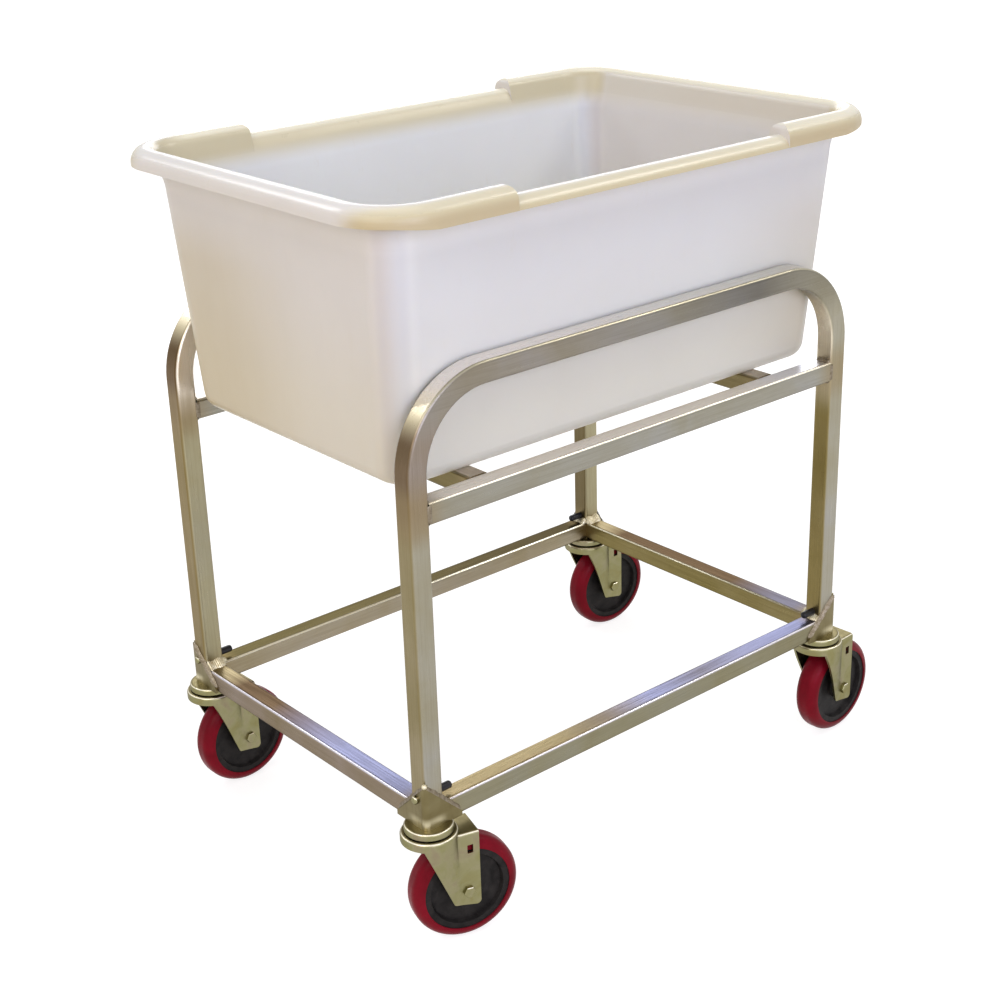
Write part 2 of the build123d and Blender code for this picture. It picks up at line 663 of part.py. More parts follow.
def rim_solid(skin):
    """The rim all round, low along the middle of the long sides and high round the ends."""
    edge, across = rim_path()
    with BuildPart() as rim:
        with BuildSketch(across):
            add(high_rim_section(skin))
        sweep(path=edge)
        with BuildSketch(Plane.XZ):
            add(step_side(skin))
        extrude(amount=LIP_WIDTH, both=True, mode=Mode.INTERSECT)
        with BuildSketch(across):
            add(low_rim_section(skin))
        sweep(path=edge)
    return rim.part


def lip_trim():
    """What is taken off the lower edge of the lip, so that it is higher round the ends."""
    edge, across = rim_path()
    with BuildPart() as trim:
        with BuildSketch(across):
            add(lip_trim_section())
        sweep(path=edge)
        with BuildSketch(Plane.XZ):
            add(lip_trim_side())
        extrude(amount=LIP_WIDTH, both=True, mode=Mode.INTERSECT)
    return trim.part


def tapered_box(bottom, base_inset, bottom_round):
    """The walls' outside or, set in by their thickness, their inside, with a rounded bottom edge."""
    with BuildPart() as box:
        with BuildSketch(Plane.XY.offset(bottom)):
            RectangleRounded(
                TUB_BASE_LENGTH - 2 * base_inset,
                TUB_BASE_WIDTH - 2 * base_inset,
                TUB_BASE_CORNER - base_inset,
            )
        with BuildSketch(Plane.XY.offset(RIM_BASE)):
            RectangleRounded(
                RIM_BASE_LENGTH - 2 * base_inset,
                RIM_BASE_WIDTH - 2 * base_inset,
                RIM_BASE_CORNER - base_inset,
            )
        loft(ruled=True)
        fillet(box.faces().sort_by(Axis.Z)[0].edges(), bottom_round)
    return box.part


def tub():
    """The moulded tub: tapered walls, a rounded bottom and a rolled rim that is hollow underneath."""
    walls = tapered_box(TUB_BOTTOM, 0, TUB_BOTTOM_ROUND)
    inside = tapered_box(FLOOR_TOP, TUB_WALL, TUB_BOTTOM_ROUND - TUB_WALL)
    rim = rim_solid(0)
    under_rim = rim_solid(TUB_WALL)
    trimmed = lip_trim()
    with BuildPart() as moulding:
        add(walls)
        add(rim)
        add([under_rim, trimmed, inside], mode=Mode.SUBTRACT)
    return moulding.part


def build_frame():
    for name, side in (("near", -1), ("far", 1)):
        keep(side_loop(side), f"side_loop_{name}")
        keep(rail_along(side, MID_RAIL_Z), f"mid_rail_{name}")
        keep(rail_along(side, LEG_BOTTOM + TUBE / 2), f"lower_rail_{name}")
        keep(rail_across(side * LEG_X, LEG_BOTTOM + TUBE / 2), f"end_rail_{name}_end")
    keep(rail_across(CROSS_RAIL_NEAR_X, MID_RAIL_Z), "cross_rail_near_end")
    keep(rail_across(CROSS_RAIL_FAR_X, MID_RAIL_Z), "cross_rail_far_end")
    keep(stem_bolts(), "stem_bolts")
    keep(bolt_caps(), "bolt_caps")
    keep(caster_balls(), "caster_balls")
    plate = corner_gusset()
    for corner, (side_x, side_y, _) in CORNERS.items():
        piece = plate if side_x > 0 else mirror(plate, about=Plane.YZ)
        piece = piece if side_y > 0 else mirror(piece, about=Plane.XZ)
        keep(piece, f"corner_gusset_{corner}")


def build_casters():
    fixed = {"caster_stem": caster_stem(), "upper_race": upper_race(), "king_nut": king_nut()}
    turning = {
        "fork": fork(),
        "axle_bolt": axle_bolt(),
        "axle_nut": axle_nut(),
        "wheel_core": wheel_core(),
        "wheel_tread": wheel_tread(),
        "wheel_bush": wheel_bush(),
    }
    for corner, (side_x, side_y, turn) in CORNERS.items():
        leg = (side_x * LEG_X, side_y * LEG_Y, 0)
        for name, shape in fixed.items():
            keep(shape, f"{name}_{corner}", Location(leg))
        for name, shape in turning.items():
            keep(shape, f"{name}_{corner}", Location(leg, (0, 0, turn)))


def build():
    os.makedirs("parts", exist_ok=True)
    build_frame()
    build_casters()
    keep(tub(), "tub")


build()
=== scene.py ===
import random
from math import cos, pi, radians, sin, sqrt

import bpy
from mathutils import Matrix, Vector


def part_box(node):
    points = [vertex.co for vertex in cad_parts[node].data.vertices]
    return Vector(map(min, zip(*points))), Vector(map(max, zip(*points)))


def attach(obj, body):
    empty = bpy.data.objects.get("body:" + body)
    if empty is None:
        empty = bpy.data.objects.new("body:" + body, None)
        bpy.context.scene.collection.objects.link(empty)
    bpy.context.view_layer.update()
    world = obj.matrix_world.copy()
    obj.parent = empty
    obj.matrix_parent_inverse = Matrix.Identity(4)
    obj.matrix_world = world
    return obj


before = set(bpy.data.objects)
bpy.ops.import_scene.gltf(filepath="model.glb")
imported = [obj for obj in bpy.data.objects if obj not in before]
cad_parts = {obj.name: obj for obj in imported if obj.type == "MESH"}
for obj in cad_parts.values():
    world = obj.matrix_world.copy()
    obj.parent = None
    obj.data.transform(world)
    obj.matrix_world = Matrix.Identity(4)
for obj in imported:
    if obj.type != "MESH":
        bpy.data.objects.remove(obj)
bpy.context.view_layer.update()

# The looks of a bulk mover: moulded tub, welded satin tube frame, plated swivel casters with red treads.
# Sizes are in metres, and every place on the object is worked out from the frame's own boxes.

CORNERS = ("front", "left", "right", "far")
SIDES = ("near", "far")

# The axes: X runs along the cart, Y across it and Z up
X, Y, Z = range(3)
ALONG = Vector((1, 0, 0))
ACROSS = Vector((0, 1, 0))
UP = Vector((0, 0, 1))

# Camera, fitted to the photograph: place from the middle of the frame on the floor, and angles in degrees
CAMERA_FROM_FRAME = Vector((-1.3022, -1.5253, 1.2149))
CAMERA_YAW = 50.059
CAMERA_PITCH = 22.784
CAMERA_ROLL = 1.816
LENS = 62.894
SENSOR = 36.0


# The frame's own measures

def middle(node):
    low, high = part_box(node)
    return (Vector(low) + Vector(high)) / 2


LOOP_LOW, LOOP_HIGH = (Vector(p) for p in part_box("side_loop_near"))
TUBE = LOOP_HIGH.y - LOOP_LOW.y
FRAME_CENTRE = Vector(((LOOP_LOW.x + LOOP_HIGH.x) / 2, 0.0, 0.0))
TUB_LOW, TUB_HIGH = (Vector(p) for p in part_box("tub"))

# Half the length of the rails along the cart and of the ones across it
RAIL_HALF = ((LOOP_HIGH.x - LOOP_LOW.x) / 2 - TUBE, middle("side_loop_far").y - TUBE / 2)


# Node materials

# The mix node has sockets for each kind of value. These are the ones for colours, by their number.
MIX_COLOURS_IN = (6, 7)
MIX_COLOUR_OUT = 2


class Paint:
    """A node material: adds nodes, links them and ends in one principled shader."""

    def __init__(self, name):
        self.material = bpy.data.materials.new(name)
        self.material.use_nodes = True
        self.tree = self.material.node_tree
        self.tree.nodes.clear()
        self.shader = self.node("ShaderNodeBsdfPrincipled")
        out = self.node("ShaderNodeOutputMaterial")
        self.tree.links.new(self.shader.outputs["BSDF"], out.inputs["Surface"])
        self.place = self.node("ShaderNodeTexCoord").outputs["Object"]

    def node(self, kind):
        return self.tree.nodes.new(kind)

    def feed(self, socket, value):
        """Link an output to a socket, or set the socket to a plain value."""
        if hasattr(value, "is_output"):
            self.tree.links.new(value, socket)
        else:
            socket.default_value = value

    def set(self, **values):
        """Set or link the shader's sockets, named with underscores for spaces."""
        for name, value in values.items():
            socket = self.shader.inputs[name.replace("_", " ")]
            if isinstance(value, tuple) and socket.type == "RGBA":
                value = (*value, 1.0)
            self.feed(socket, value)

    def stretched(self, stretch):
        """The place on the piece, scaled along each axis."""
        mapping = self.node("ShaderNodeMapping")
        self.feed(mapping.inputs["Vector"], self.place)
        mapping.inputs["Scale"].default_value = stretch
        return mapping.outputs["Vector"]

    def noise(self, scale, detail, rough=0.55, stretch=None, warp=0.0):
        texture = self.node("ShaderNodeTexNoise")
        self.feed(texture.inputs["Vector"], self.stretched(stretch) if stretch else self.place)
        texture.inputs["Scale"].default_value = scale
        texture.inputs["Detail"].default_value = detail
        texture.inputs["Roughness"].default_value = rough
        texture.inputs["Distortion"].default_value = warp
        return texture.outputs["Fac"]

    def math(self, operation, first, second=None):
        node = self.node("ShaderNodeMath")
        node.operation = operation
        self.feed(node.inputs[0], first)
        if second is not None:
            self.feed(node.inputs[1], second)
        return node.outputs["Value"]

    def product(self, first, *others):
        for other in others:
            first = self.math("MULTIPLY", first, other)
        return first

    def rest(self, share):
        """What a share leaves of 1."""
        return self.math("SUBTRACT", 1.0, share)

    def distance(self, value, centre):
        return self.math("ABSOLUTE", self.math("SUBTRACT", value, centre))

    def axis(self, index):
        split = self.node("ShaderNodeSeparateXYZ")
        self.feed(split.inputs["Vector"], self.place)
        return split.outputs[index]

    def facing(self, index):
        """How far the surface looks along an axis, from -1 to 1."""
        split = self.node("ShaderNodeSeparateXYZ")
        self.feed(split.inputs["Vector"], self.node("ShaderNodeTexCoord").outputs["Normal"])
        return split.outputs[index]

    def fade(self, value, start, end, low=0.0, high=1.0):
        """A smooth change from low to high as a value goes from start to end."""
        node = self.node("ShaderNodeMapRange")
        node.interpolation_type = "SMOOTHSTEP"
        self.feed(node.inputs["Value"], value)
        node.inputs["From Min"].default_value = start
        node.inputs["From Max"].default_value = end
        node.inputs["To Min"].default_value = low
        node.inputs["To Max"].default_value = high
        return node.outputs["Result"]

    def looks_along(self, index, span, low=0.0, high=1.0):
        """High where the surface looks along an axis, either way, by more than the span."""
        return self.fade(self.math("ABSOLUTE", self.facing(index)), *span, low, high)

    def looks_up(self, span):
        """1 where the surface looks up by more than the span."""
        return self.fade(self.facing(Z), *span)

    def ramp(self, value, stops):
        node = self.node("ShaderNodeValToRGB")
        self.feed(node.inputs["Fac"], value)
        points = node.color_ramp.elements
        while len(points) < len(stops):
            points.new(position=0.5)
        for point, (position, colour) in zip(points, stops):
            point.position = position
            point.color = (*colour, 1.0)
        return node.outputs["Color"]

    def mix(self, share, first, second, blend="MIX"):
        """A colour between two others."""
        node = self.node("ShaderNodeMix")
        node.data_type = "RGBA"
        node.blend_type = blend
        self.feed(node.inputs["Factor"], share)
        for index, value in zip(MIX_COLOURS_IN, (first, second)):
            self.feed(node.inputs[index], (*value, 1.0) if isinstance(value, tuple) else value)
        return node.outputs[MIX_COLOUR_OUT]

    def tint(self, share, colour, tint):
        """A colour multiplied by a tint."""
        return self.mix(share, colour, tint, blend="MULTIPLY")

    def blend(self, share, first, second):
        """A plain number between two others."""
        node = self.node("ShaderNodeMix")
        for name, value in (("Factor", share), ("A", first), ("B", second)):
            self.feed(node.inputs[name], value)
        return node.outputs["Result"]

    def bump(self, height, distance, strength, after=None):
        node = self.node("ShaderNodeBump")
        self.feed(node.inputs["Height"], height)
        node.inputs["Distance"].default_value = distance
        node.inputs["Strength"].default_value = strength
        if after is not None:
            self.feed(node.inputs["Normal"], after)
        return node.outputs["Normal"]


def dress(node, material):
    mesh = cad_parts[node].data
    mesh.materials.clear()
    mesh.materials.append(material)


# In all the materials a pair named LOOK says how far a surface has to look along an axis, or up, for a tone
# to start and to be full. Tones are stops of a colour ramp: a position and the colour there.

# Tub plastic

TUB_TONES = [(0.30, (0.748, 0.740, 0.755)), (0.70, (0.788, 0.782, 0.797))]

# Painted light: tints of the end walls and of the long walls, by the way that they look. The far part of
# their outside gets painted warm light, by the second tint, between two shares of the tub's half size, and
# below the reach under the crest.
END_WALL_PAINTED_LIGHT = ((0.955, 0.930, 0.910), (0.885, 0.835, 0.690), (-0.40, 0.55))
LONG_WALL_PAINTED_LIGHT = ((1.00, 1.035, 1.065), (0.900, 0.865, 0.810), (0.25, 0.85))
FAR_PAINTED_LIGHT_REACH = (0.130, 0.050)
WALL_LOOK = (0.50, 0.95)

# Painted light on the insides of the long walls, and painted shade on the rounded corners between the walls
INSIDE_PAINTED_LIGHT = (1.07, 1.075, 1.065)
WALL_CORNER_PAINTED_SHADE = (0.885, 0.885, 0.915)
WALL_CORNER_SLANT = (0.20, 0.45)

# Painted light on the outside of the wall under the lip, which lifts the lip's shade, from this far under
# the crest, and fully from this far
UNDER_LIP_REACH = (0.062, 0.042)
UNDER_LIP_PAINTED_LIGHT = (1.09, 1.09, 1.09)

# Painted warm light from the floor makes the walls yellower towards the bottom, fully up to the first
# height above it, and not from the second
WALL_WARM_SPAN = (0.03, 0.22)
LOW_WALL_PAINTED_WARM_LIGHT = (1.0, 0.975, 0.86)

# The rim is thicker and looks creamier than the walls: on the inside and on the lip, from this far under
# its crest, and fully from this far
RIM_CREAM_REACH = (0.050, 0.022)
LIP_CREAM_REACH = (0.030, 0.025)

# Painted shading of the roll: its tones from where it looks sideways to where it looks up, and its painted
# tone on the far side
ROLL_PAINTED_SHADING = [(0.00, (0.560, 0.450, 0.225)), (0.45, (0.650, 0.560, 0.315)), (1.00, (0.770, 0.705, 0.490))]
ROLL_LOOK = (0.0, 0.95)
FAR_ROLL_PAINTED_LIGHT = (0.600, 0.530, 0.325)

# How creamy the roll is where it looks along the cart or up, where it looks across the cart, and at least
# at the far
# end: cream of the thick plastic, and painted warm light that makes it creamier where it looks across the
# cart
CREAM_AND_LIGHT_LENGTHWAYS = 0.10
CREAM_AND_LIGHT_SIDEWAYS = 0.85
CREAM_AND_LIGHT_FAR_END = 0.35
CREAM_LOOK = (0.0, 0.5)

# The crest gets painted light on the far side and at the far end, but not on the near end's roll, which
# reaches this far in, and it is glossier than the walls
FAR_CREST_PAINTED_LIGHT = (0.92, 0.875, 0.71)
CREST_LOOK = (0.50, 0.88)
NEAR_END_ROLL = 0.05
GLOSS_LOOK = (0.30, 0.70)
CREST_ROUGHNESS = 0.25

SCUFF_COLOUR = (0.70, 0.66, 0.58)
SCUFF_STRETCH = (1.0, 1.0, 0.18)


def tub_plastic():
    """Natural white moulded plastic, a little translucent, with scuffs, a fine matt grain, and painted
    light and shade on its walls and rim.
    """
    paint = Paint("tub_plastic_look")
    outside = outer_face(paint)
    thick = paint.blend(outside, below_crest(paint, RIM_CREAM_REACH), below_crest(paint, LIP_CREAM_REACH))
    body = paint.ramp(paint.noise(scale=5.0, detail=4.0), TUB_TONES)
    body = wall_tints(paint, body, outside)
    body = rim_tones(paint, body, thick)
    scuff = paint.noise(scale=60.0, detail=6.0, rough=0.7, stretch=SCUFF_STRETCH, warp=0.4)
    scuffed = paint.fade(scuff, start=0.60, end=0.78, high=0.25)
    matt = paint.fade(scuff, start=0.35, end=0.75, low=0.30, high=0.46)
    crest = paint.product(thick, paint.looks_up(GLOSS_LOOK))
    swell = paint.bump(paint.noise(scale=14.0, detail=2.0), distance=0.0012, strength=0.35)
    grain = paint.noise(scale=900.0, detail=2.0)
    paint.set(
        Base_Color=paint.mix(scuffed, body, SCUFF_COLOUR),
        Roughness=paint.blend(crest, matt, CREST_ROUGHNESS),
        Subsurface_Weight=0.12,
        Subsurface_Radius=(0.012, 0.009, 0.006),
        Subsurface_Scale=1.0,
        Normal=paint.bump(grain, distance=0.0001, strength=0.30, after=swell),
    )
    return paint.material


def wall_tints(paint, body, outside):
    """
    The walls, with painted light and shade: tinted by the way that they look, with painted light under the
    lip, painted shade round the corners and painted warm light at the bottom.
    """
    low_wall = paint.rest(below_crest(paint, FAR_PAINTED_LIGHT_REACH))
    for axis, across, (tint, far_painted_light, reach) in ((X, Y, END_WALL_PAINTED_LIGHT), (Y, X, LONG_WALL_PAINTED_LIGHT)):
        wall = paint.looks_along(axis, WALL_LOOK)
        body = paint.tint(wall, body, tint)
        start, end = (share * TUB_HIGH[across] for share in reach)
        far_part = paint.fade(paint.axis(across), start, end)
        body = paint.tint(paint.product(outside, low_wall, wall, far_part), body, far_painted_light)
    inside = paint.product(paint.rest(outside), paint.looks_along(Y, WALL_LOOK))
    body = paint.tint(inside, body, INSIDE_PAINTED_LIGHT)
    slant = paint.math("ABSOLUTE", paint.product(paint.facing(X), paint.facing(Y)))
    body = paint.tint(paint.fade(slant, *WALL_CORNER_SLANT), body, WALL_CORNER_PAINTED_SHADE)
    under_lip = paint.product(outside, below_crest(paint, UNDER_LIP_REACH))
    body = paint.tint(under_lip, body, UNDER_LIP_PAINTED_LIGHT)
    start, end = (TUB_LOW.z + height for height in WALL_WARM_SPAN)
    low = paint.fade(paint.axis(Z), start, end, low=1.0, high=0.0)
    return paint.tint(low, body, LOW_WALL_PAINTED_WARM_LIGHT)


def rim_tones(paint, body, thick):
    """The rolled rim: cream with painted warm light along the long sides, whiter on the ends, painted
    shading by the way that it looks, and painted light along the far crest.
    """
    far_side = paint.fade(paint.axis(Y), 0.0, TUB_HIGH.y / 2)
    far_end = paint.fade(paint.axis(X), 0.0, TUB_HIGH.x)
    painted_roll_shading = paint.mix(far_side, paint.ramp(paint.looks_up(ROLL_LOOK), ROLL_PAINTED_SHADING), FAR_ROLL_PAINTED_LIGHT)
    cream_and_warm_light = paint.looks_along(Y, CREAM_LOOK, low=CREAM_AND_LIGHT_LENGTHWAYS, high=CREAM_AND_LIGHT_SIDEWAYS)
    cream_and_warm_light = paint.math("MAXIMUM", cream_and_warm_light, paint.product(far_end, CREAM_AND_LIGHT_FAR_END))
    body = paint.mix(paint.product(thick, cream_and_warm_light), body, painted_roll_shading)
    past_near_end = paint.fade(paint.axis(X), TUB_LOW.x + NEAR_END_ROLL, TUB_LOW.x + 2 * NEAR_END_ROLL)
    far_rim = paint.math("MAXIMUM", paint.product(far_side, past_near_end), far_end)
    far_crest_light = paint.product(thick, paint.looks_up(CREST_LOOK), far_rim)
    return paint.mix(far_crest_light, body, FAR_CREST_PAINTED_LIGHT)


def outer_face(paint):
    """1 where the tub's surface looks away from its middle, and 0 where it looks inwards or up."""
    along, across = (paint.product(paint.axis(index), paint.facing(index)) for index in (X, Y))
    return paint.fade(paint.math("ADD", along, across), start=0.0, end=0.05)


def below_crest(paint, reach):
    """1 near the crest of the tub's rim and 0 below, between two depths under the crest."""
    start, full = reach
    return paint.fade(paint.axis(Z), TUB_HIGH.z - start, TUB_HIGH.z - full)


# Satin tube

# Faces that look across the cart are grey, and the ones that look along it golden, a painted warm
# reflection, before their tint
GREY_TONES = [(0.28, (0.300, 0.272, 0.200)), (0.50, (0.330, 0.310, 0.260)), (0.72, (0.340, 0.330, 0.318))]
GOLDEN_REFLECTION_TONES = [(0.30, (0.222, 0.186, 0.088)), (0.70, (0.290, 0.250, 0.155))]
FACE_LOOK = (0.45, 0.95)

# Drawing lines: the scale of their pattern along the tube, and their tint
LINE_STRETCH = 0.02
LINE_TINT = (0.74, 0.69, 0.60)

# Heat tint beside the welds, and how far it reaches from them
HEAT_COLOUR = (0.255, 0.190, 0.095)
HEAT_SHARE = 0.55
HEAT_REACH = 0.030

# Painted highlights on the corners along the tops of the tubes, which look sideways and up
BRIGHT_EDGE_HIGHLIGHT = (0.78, 0.74, 0.64)
GLEAMING_EDGE_HIGHLIGHT = (1.0, 0.96, 0.82)
COOL_EDGE_HIGHLIGHT = (0.62, 0.60, 0.66)
DULL_EDGE_HIGHLIGHT = (0.40, 0.37, 0.28)
EDGE_SIDE_LOOK = (0.15, 0.45)
EDGE_UP_LOOK = (0.35, 0.65)

# Painted reflections on the tops of the tubes, in different tones
CREAM_TOP_REFLECTION = (0.89, 0.84, 0.79)
FAR_CREAM_TOP_REFLECTION = (0.72, 0.71, 0.66)
WARM_TOP_REFLECTION = (0.90, 0.85, 0.79)
GOLDEN_TOP_REFLECTION = (0.44, 0.365, 0.215)
DUSKY_TOP_REFLECTION = (0.26, 0.22, 0.18)
OLIVE_TOP_REFLECTION = (0.122, 0.102, 0.051)
DARK_OLIVE_TOP_REFLECTION = (0.086, 0.071, 0.043)
BROWN_TOP_REFLECTION = (0.131, 0.091, 0.057)
SUNNY_TOP_REFLECTION = (0.36, 0.30, 0.18)
LILAC_TOP_REFLECTION = (0.235, 0.245, 0.370)
SLATE_TOP_REFLECTION = (0.168, 0.160, 0.195)
PALE_LILAC_TOP_REFLECTION = (0.85, 0.87, 0.96)
FLAT_TOP_LOOK = (0.80, 0.98)

# The painted reflections along each rail's top, from its near end to its far end or from the near side to
# the far side
MID_RAIL_TOP_REFLECTIONS = [(0.85, WARM_TOP_REFLECTION), (0.97, PALE_LILAC_TOP_REFLECTION)]
CROSS_RAIL_TOP_REFLECTIONS = [(0.0, WARM_TOP_REFLECTION), (1.0, CREAM_TOP_REFLECTION)]
LOWER_NEAR_TOP_REFLECTIONS = [
    (0.20, GOLDEN_TOP_REFLECTION), (0.36, DUSKY_TOP_REFLECTION), (0.54, LILAC_TOP_REFLECTION), (0.74, SLATE_TOP_REFLECTION), (0.97, LILAC_TOP_REFLECTION),
]
LOWER_FAR_TOP_REFLECTIONS = [(0.0, OLIVE_TOP_REFLECTION), (1.0, DARK_OLIVE_TOP_REFLECTION)]
# Painted reflections on the tops beside the far welds: brown, then bright
REFLECTIONS_BESIDE_FAR_WELD = [(0.93, BROWN_TOP_REFLECTION), (0.99, SUNNY_TOP_REFLECTION)]
END_NEAR_TOP_REFLECTIONS = [(0.25, LILAC_TOP_REFLECTION), (0.75, BROWN_TOP_REFLECTION), *REFLECTIONS_BESIDE_FAR_WELD]
END_FAR_TOP_REFLECTIONS = [(0.05, SLATE_TOP_REFLECTION), (0.25, BROWN_TOP_REFLECTION), *REFLECTIONS_BESIDE_FAR_WELD]

# Each rail's tint, painted light and shade for where the rail stands, and how bright the lowest rails get
# where they are seen at a low angle
MID_RAIL_LIGHT_AND_SHADE = (0.90, 0.92, 0.94)
CROSS_RAIL_LIGHT_AND_SHADE = (0.71, 0.67, 0.56)
LOWER_NEAR_LIGHT_AND_SHADE = (0.79, 0.78, 0.62)
LOWER_FAR_LIGHT_AND_SHADE = (0.99, 0.91, 0.78)
END_NEAR_LIGHT_AND_SHADE = (1.13, 1.08, 1.50)
END_FAR_LIGHT_AND_SHADE = (0.90, 0.86, 0.66)
LOW_GRAZING = 0.4


def satin_tube(name, lines, weld_heat, edge_axis, edge_highlight, top, top_share, tint, grazing):
    """
    Satin tube with drawing lines along its length and heat tint next to the welds. The tops carry painted
    reflections, and the corners along them, which look up and along `edge_axis`, painted highlights.
    `grazing` is how bright the metal gets where it is seen at a low angle.
    """
    paint = Paint(name)
    cloud = paint.noise(scale=9.0, detail=4.0, warp=0.3)
    grey = paint.ramp(cloud, GREY_TONES)
    golden_reflection = paint.ramp(cloud, GOLDEN_REFLECTION_TONES)
    # The faces that look along the cart get the painted golden reflection
    body = tint(paint, paint.mix(paint.looks_along(X, FACE_LOOK), grey, golden_reflection))
    edge = paint.product(paint.looks_along(edge_axis, EDGE_SIDE_LOOK), paint.looks_up(EDGE_UP_LOOK))
    body = paint.mix(edge, body, edge_highlight)
    body = paint.mix(top_share(paint), body, top(paint))
    drawn = lines(paint)
    lined = paint.fade(drawn, start=0.35, end=0.70, high=0.28)
    body = paint.tint(lined, body, LINE_TINT)
    paint.set(
        Base_Color=paint.mix(paint.product(weld_heat(paint), HEAT_SHARE), body, HEAT_COLOUR),
        Metallic=1.0,
        Roughness=paint.fade(drawn, start=0.30, end=0.75, low=0.26, high=0.44),
        Specular_Tint=(grazing, grazing, grazing),
        Normal=paint.bump(drawn, distance=0.00006, strength=0.55),
    )
    return paint.material


def drawn_along(axis):
    """Fine drawing lines along a straight tube."""
    stretch = tuple(LINE_STRETCH if index == axis else 1.0 for index in (X, Y, Z))

    def lines(paint):
        return paint.noise(scale=520.0, detail=4.0, rough=0.65, stretch=stretch)
    return lines


def toned_along(axis, reach, stops):
    """A tone that changes along a tube, from `reach` before the frame's centre to as far behind it."""
    centre = FRAME_CENTRE[axis]

    def tone(paint):
        return paint.ramp(paint.fade(paint.axis(axis), centre - reach, centre + reach), stops)
    return tone


def tinted(colour):
    """The same tint on all the faces of a tube."""
    def tint(paint, body):
        return paint.tint(1.0, body, colour)
    return tint


def near_ends(axis, half):
    """Heat near both ends of a rail that lies along an axis."""
    def heat(paint):
        return paint.fade(paint.distance(paint.axis(axis), FRAME_CENTRE[axis]), half - HEAT_REACH, half)
    return heat


def flat_top(paint):
    """1 on the flat top of a rail."""
    return paint.looks_up(FLAT_TOP_LOOK)


def rail_look(name, axis, edge_highlight, top, tint, grazing=1.0):
    """Satin tube for the straight rails along an axis. `top` gives the painted reflections along their
    tops.
    """
    half = RAIL_HALF[axis]
    return satin_tube(
        name,
        lines=drawn_along(axis),
        weld_heat=near_ends(axis, half),
        edge_axis=Y if axis == X else X,
        edge_highlight=edge_highlight,
        top=toned_along(axis, half, top),
        top_share=flat_top,
        tint=tinted(tint),
        grazing=grazing,
    )


def dress_rails():
    mid_rail = rail_look("mid_rail_look", X, BRIGHT_EDGE_HIGHLIGHT, MID_RAIL_TOP_REFLECTIONS, MID_RAIL_LIGHT_AND_SHADE)
    cross_rail = rail_look("cross_rail_look", Y, DULL_EDGE_HIGHLIGHT, CROSS_RAIL_TOP_REFLECTIONS, CROSS_RAIL_LIGHT_AND_SHADE)
    for side in SIDES:
        dress(f"mid_rail_{side}", mid_rail)
        dress(f"cross_rail_{side}_end", cross_rail)
    low_rails = {
        "lower_rail_near": ("lower_rail_near_look", X, COOL_EDGE_HIGHLIGHT, LOWER_NEAR_TOP_REFLECTIONS, LOWER_NEAR_LIGHT_AND_SHADE),
        "lower_rail_far": ("lower_rail_far_look", X, GLEAMING_EDGE_HIGHLIGHT, LOWER_FAR_TOP_REFLECTIONS, LOWER_FAR_LIGHT_AND_SHADE),
        "end_rail_near_end": ("end_rail_near_look", Y, COOL_EDGE_HIGHLIGHT, END_NEAR_TOP_REFLECTIONS, END_NEAR_LIGHT_AND_SHADE),
        "end_rail_far_end": ("end_rail_far_look", Y, DULL_EDGE_HIGHLIGHT, END_FAR_TOP_REFLECTIONS, END_FAR_LIGHT_AND_SHADE),
    }
    for node, look in low_rails.items():
        dress(node, rail_look(*look, grazing=LOW_GRAZING))


# Side loops

# Painted reflections along the top, which are golden round the bends
LOOP_TOP_REFLECTIONS = [(0.1, CREAM_TOP_REFLECTION), (0.9, FAR_CREAM_TOP_REFLECTION)]
LOOP_TOP_LOOK = (0.35, 0.75)
LOOP_BAR_LOOK = (0.55, 0.95)
BEND_GOLDEN_REFLECTION = (0.82, 0.73, 0.50)

# The look of the top bar starts this far under the top of the loop, and is full from this far
BAR_REACH = (3 * TUBE, TUBE)

# Painted shade along the face of the top bar, which is darker towards the far end
BAR_PAINTED_SHADE = [
    (0.15, (0.765, 0.735, 0.775)),
    (0.60, (0.690, 0.690, 0.760)),
    (0.88, (0.450, 0.450, 0.515)),
    (0.985, (0.700, 0.695, 0.700)),
]

# Painted light and shade: tints of the faces that look across the cart, and of the ones that look along it
# on each leg
NEAR_LOOP_LIGHT_AND_SHADE = {
    "across": (1.0, 1.0, 0.95),
    "near_leg": (1.0, 0.97, 0.95),
    "far_leg": (0.85, 0.78, 0.52),
}
FAR_LOOP_LIGHT_AND_SHADE = {
    "across": (1.05, 1.01, 0.78),
    "near_leg": (0.82, 0.72, 0.53),
    "far_leg": (0.60, 0.55, 0.50),
}

# From about the tops of the mid rails upwards the far leg is lit from the tub, and the near one is in its
# shade. The spans are heights from those tops.
LIT_LEG = (0.75, 0.68, 0.54)
LIT_LEG_SPAN = (-3 * TUBE, TUBE)
SHADED_LEG_TINT = (0.56, 0.46, 0.46)
SHADED_BEND_TINT = (0.77, 0.67, 0.66)
SHADED_LEG_SPAN = (-2 * TUBE, 0.0)

# The inner face of the far loop's near bend, which looks to the near side, is lit from the tub: fully up to
# the first length from the loop's near end, and not from the second
LIT_BEND = (0.88, 0.80, 0.69)
LIT_BEND_REACH = (3 * TUBE, 8 * TUBE)
LIT_BEND_LOOK = (-0.95, -0.45)
LIT_BEND_SPAN = (-TUBE, TUBE)


def top_bar(paint):
    """1 on the top bar of a loop and 0 on its legs."""
    start, full = BAR_REACH
    return paint.fade(paint.axis(Z), LOOP_HIGH.z - start, LOOP_HIGH.z - full)


def top_and_bends(paint):
    """1 on the top of a loop and round the upper part of its bends."""
    level = paint.looks_along(Y, EDGE_SIDE_LOOK, low=1.0, high=0.0)
    return paint.product(paint.looks_up(LOOP_TOP_LOOK), level)


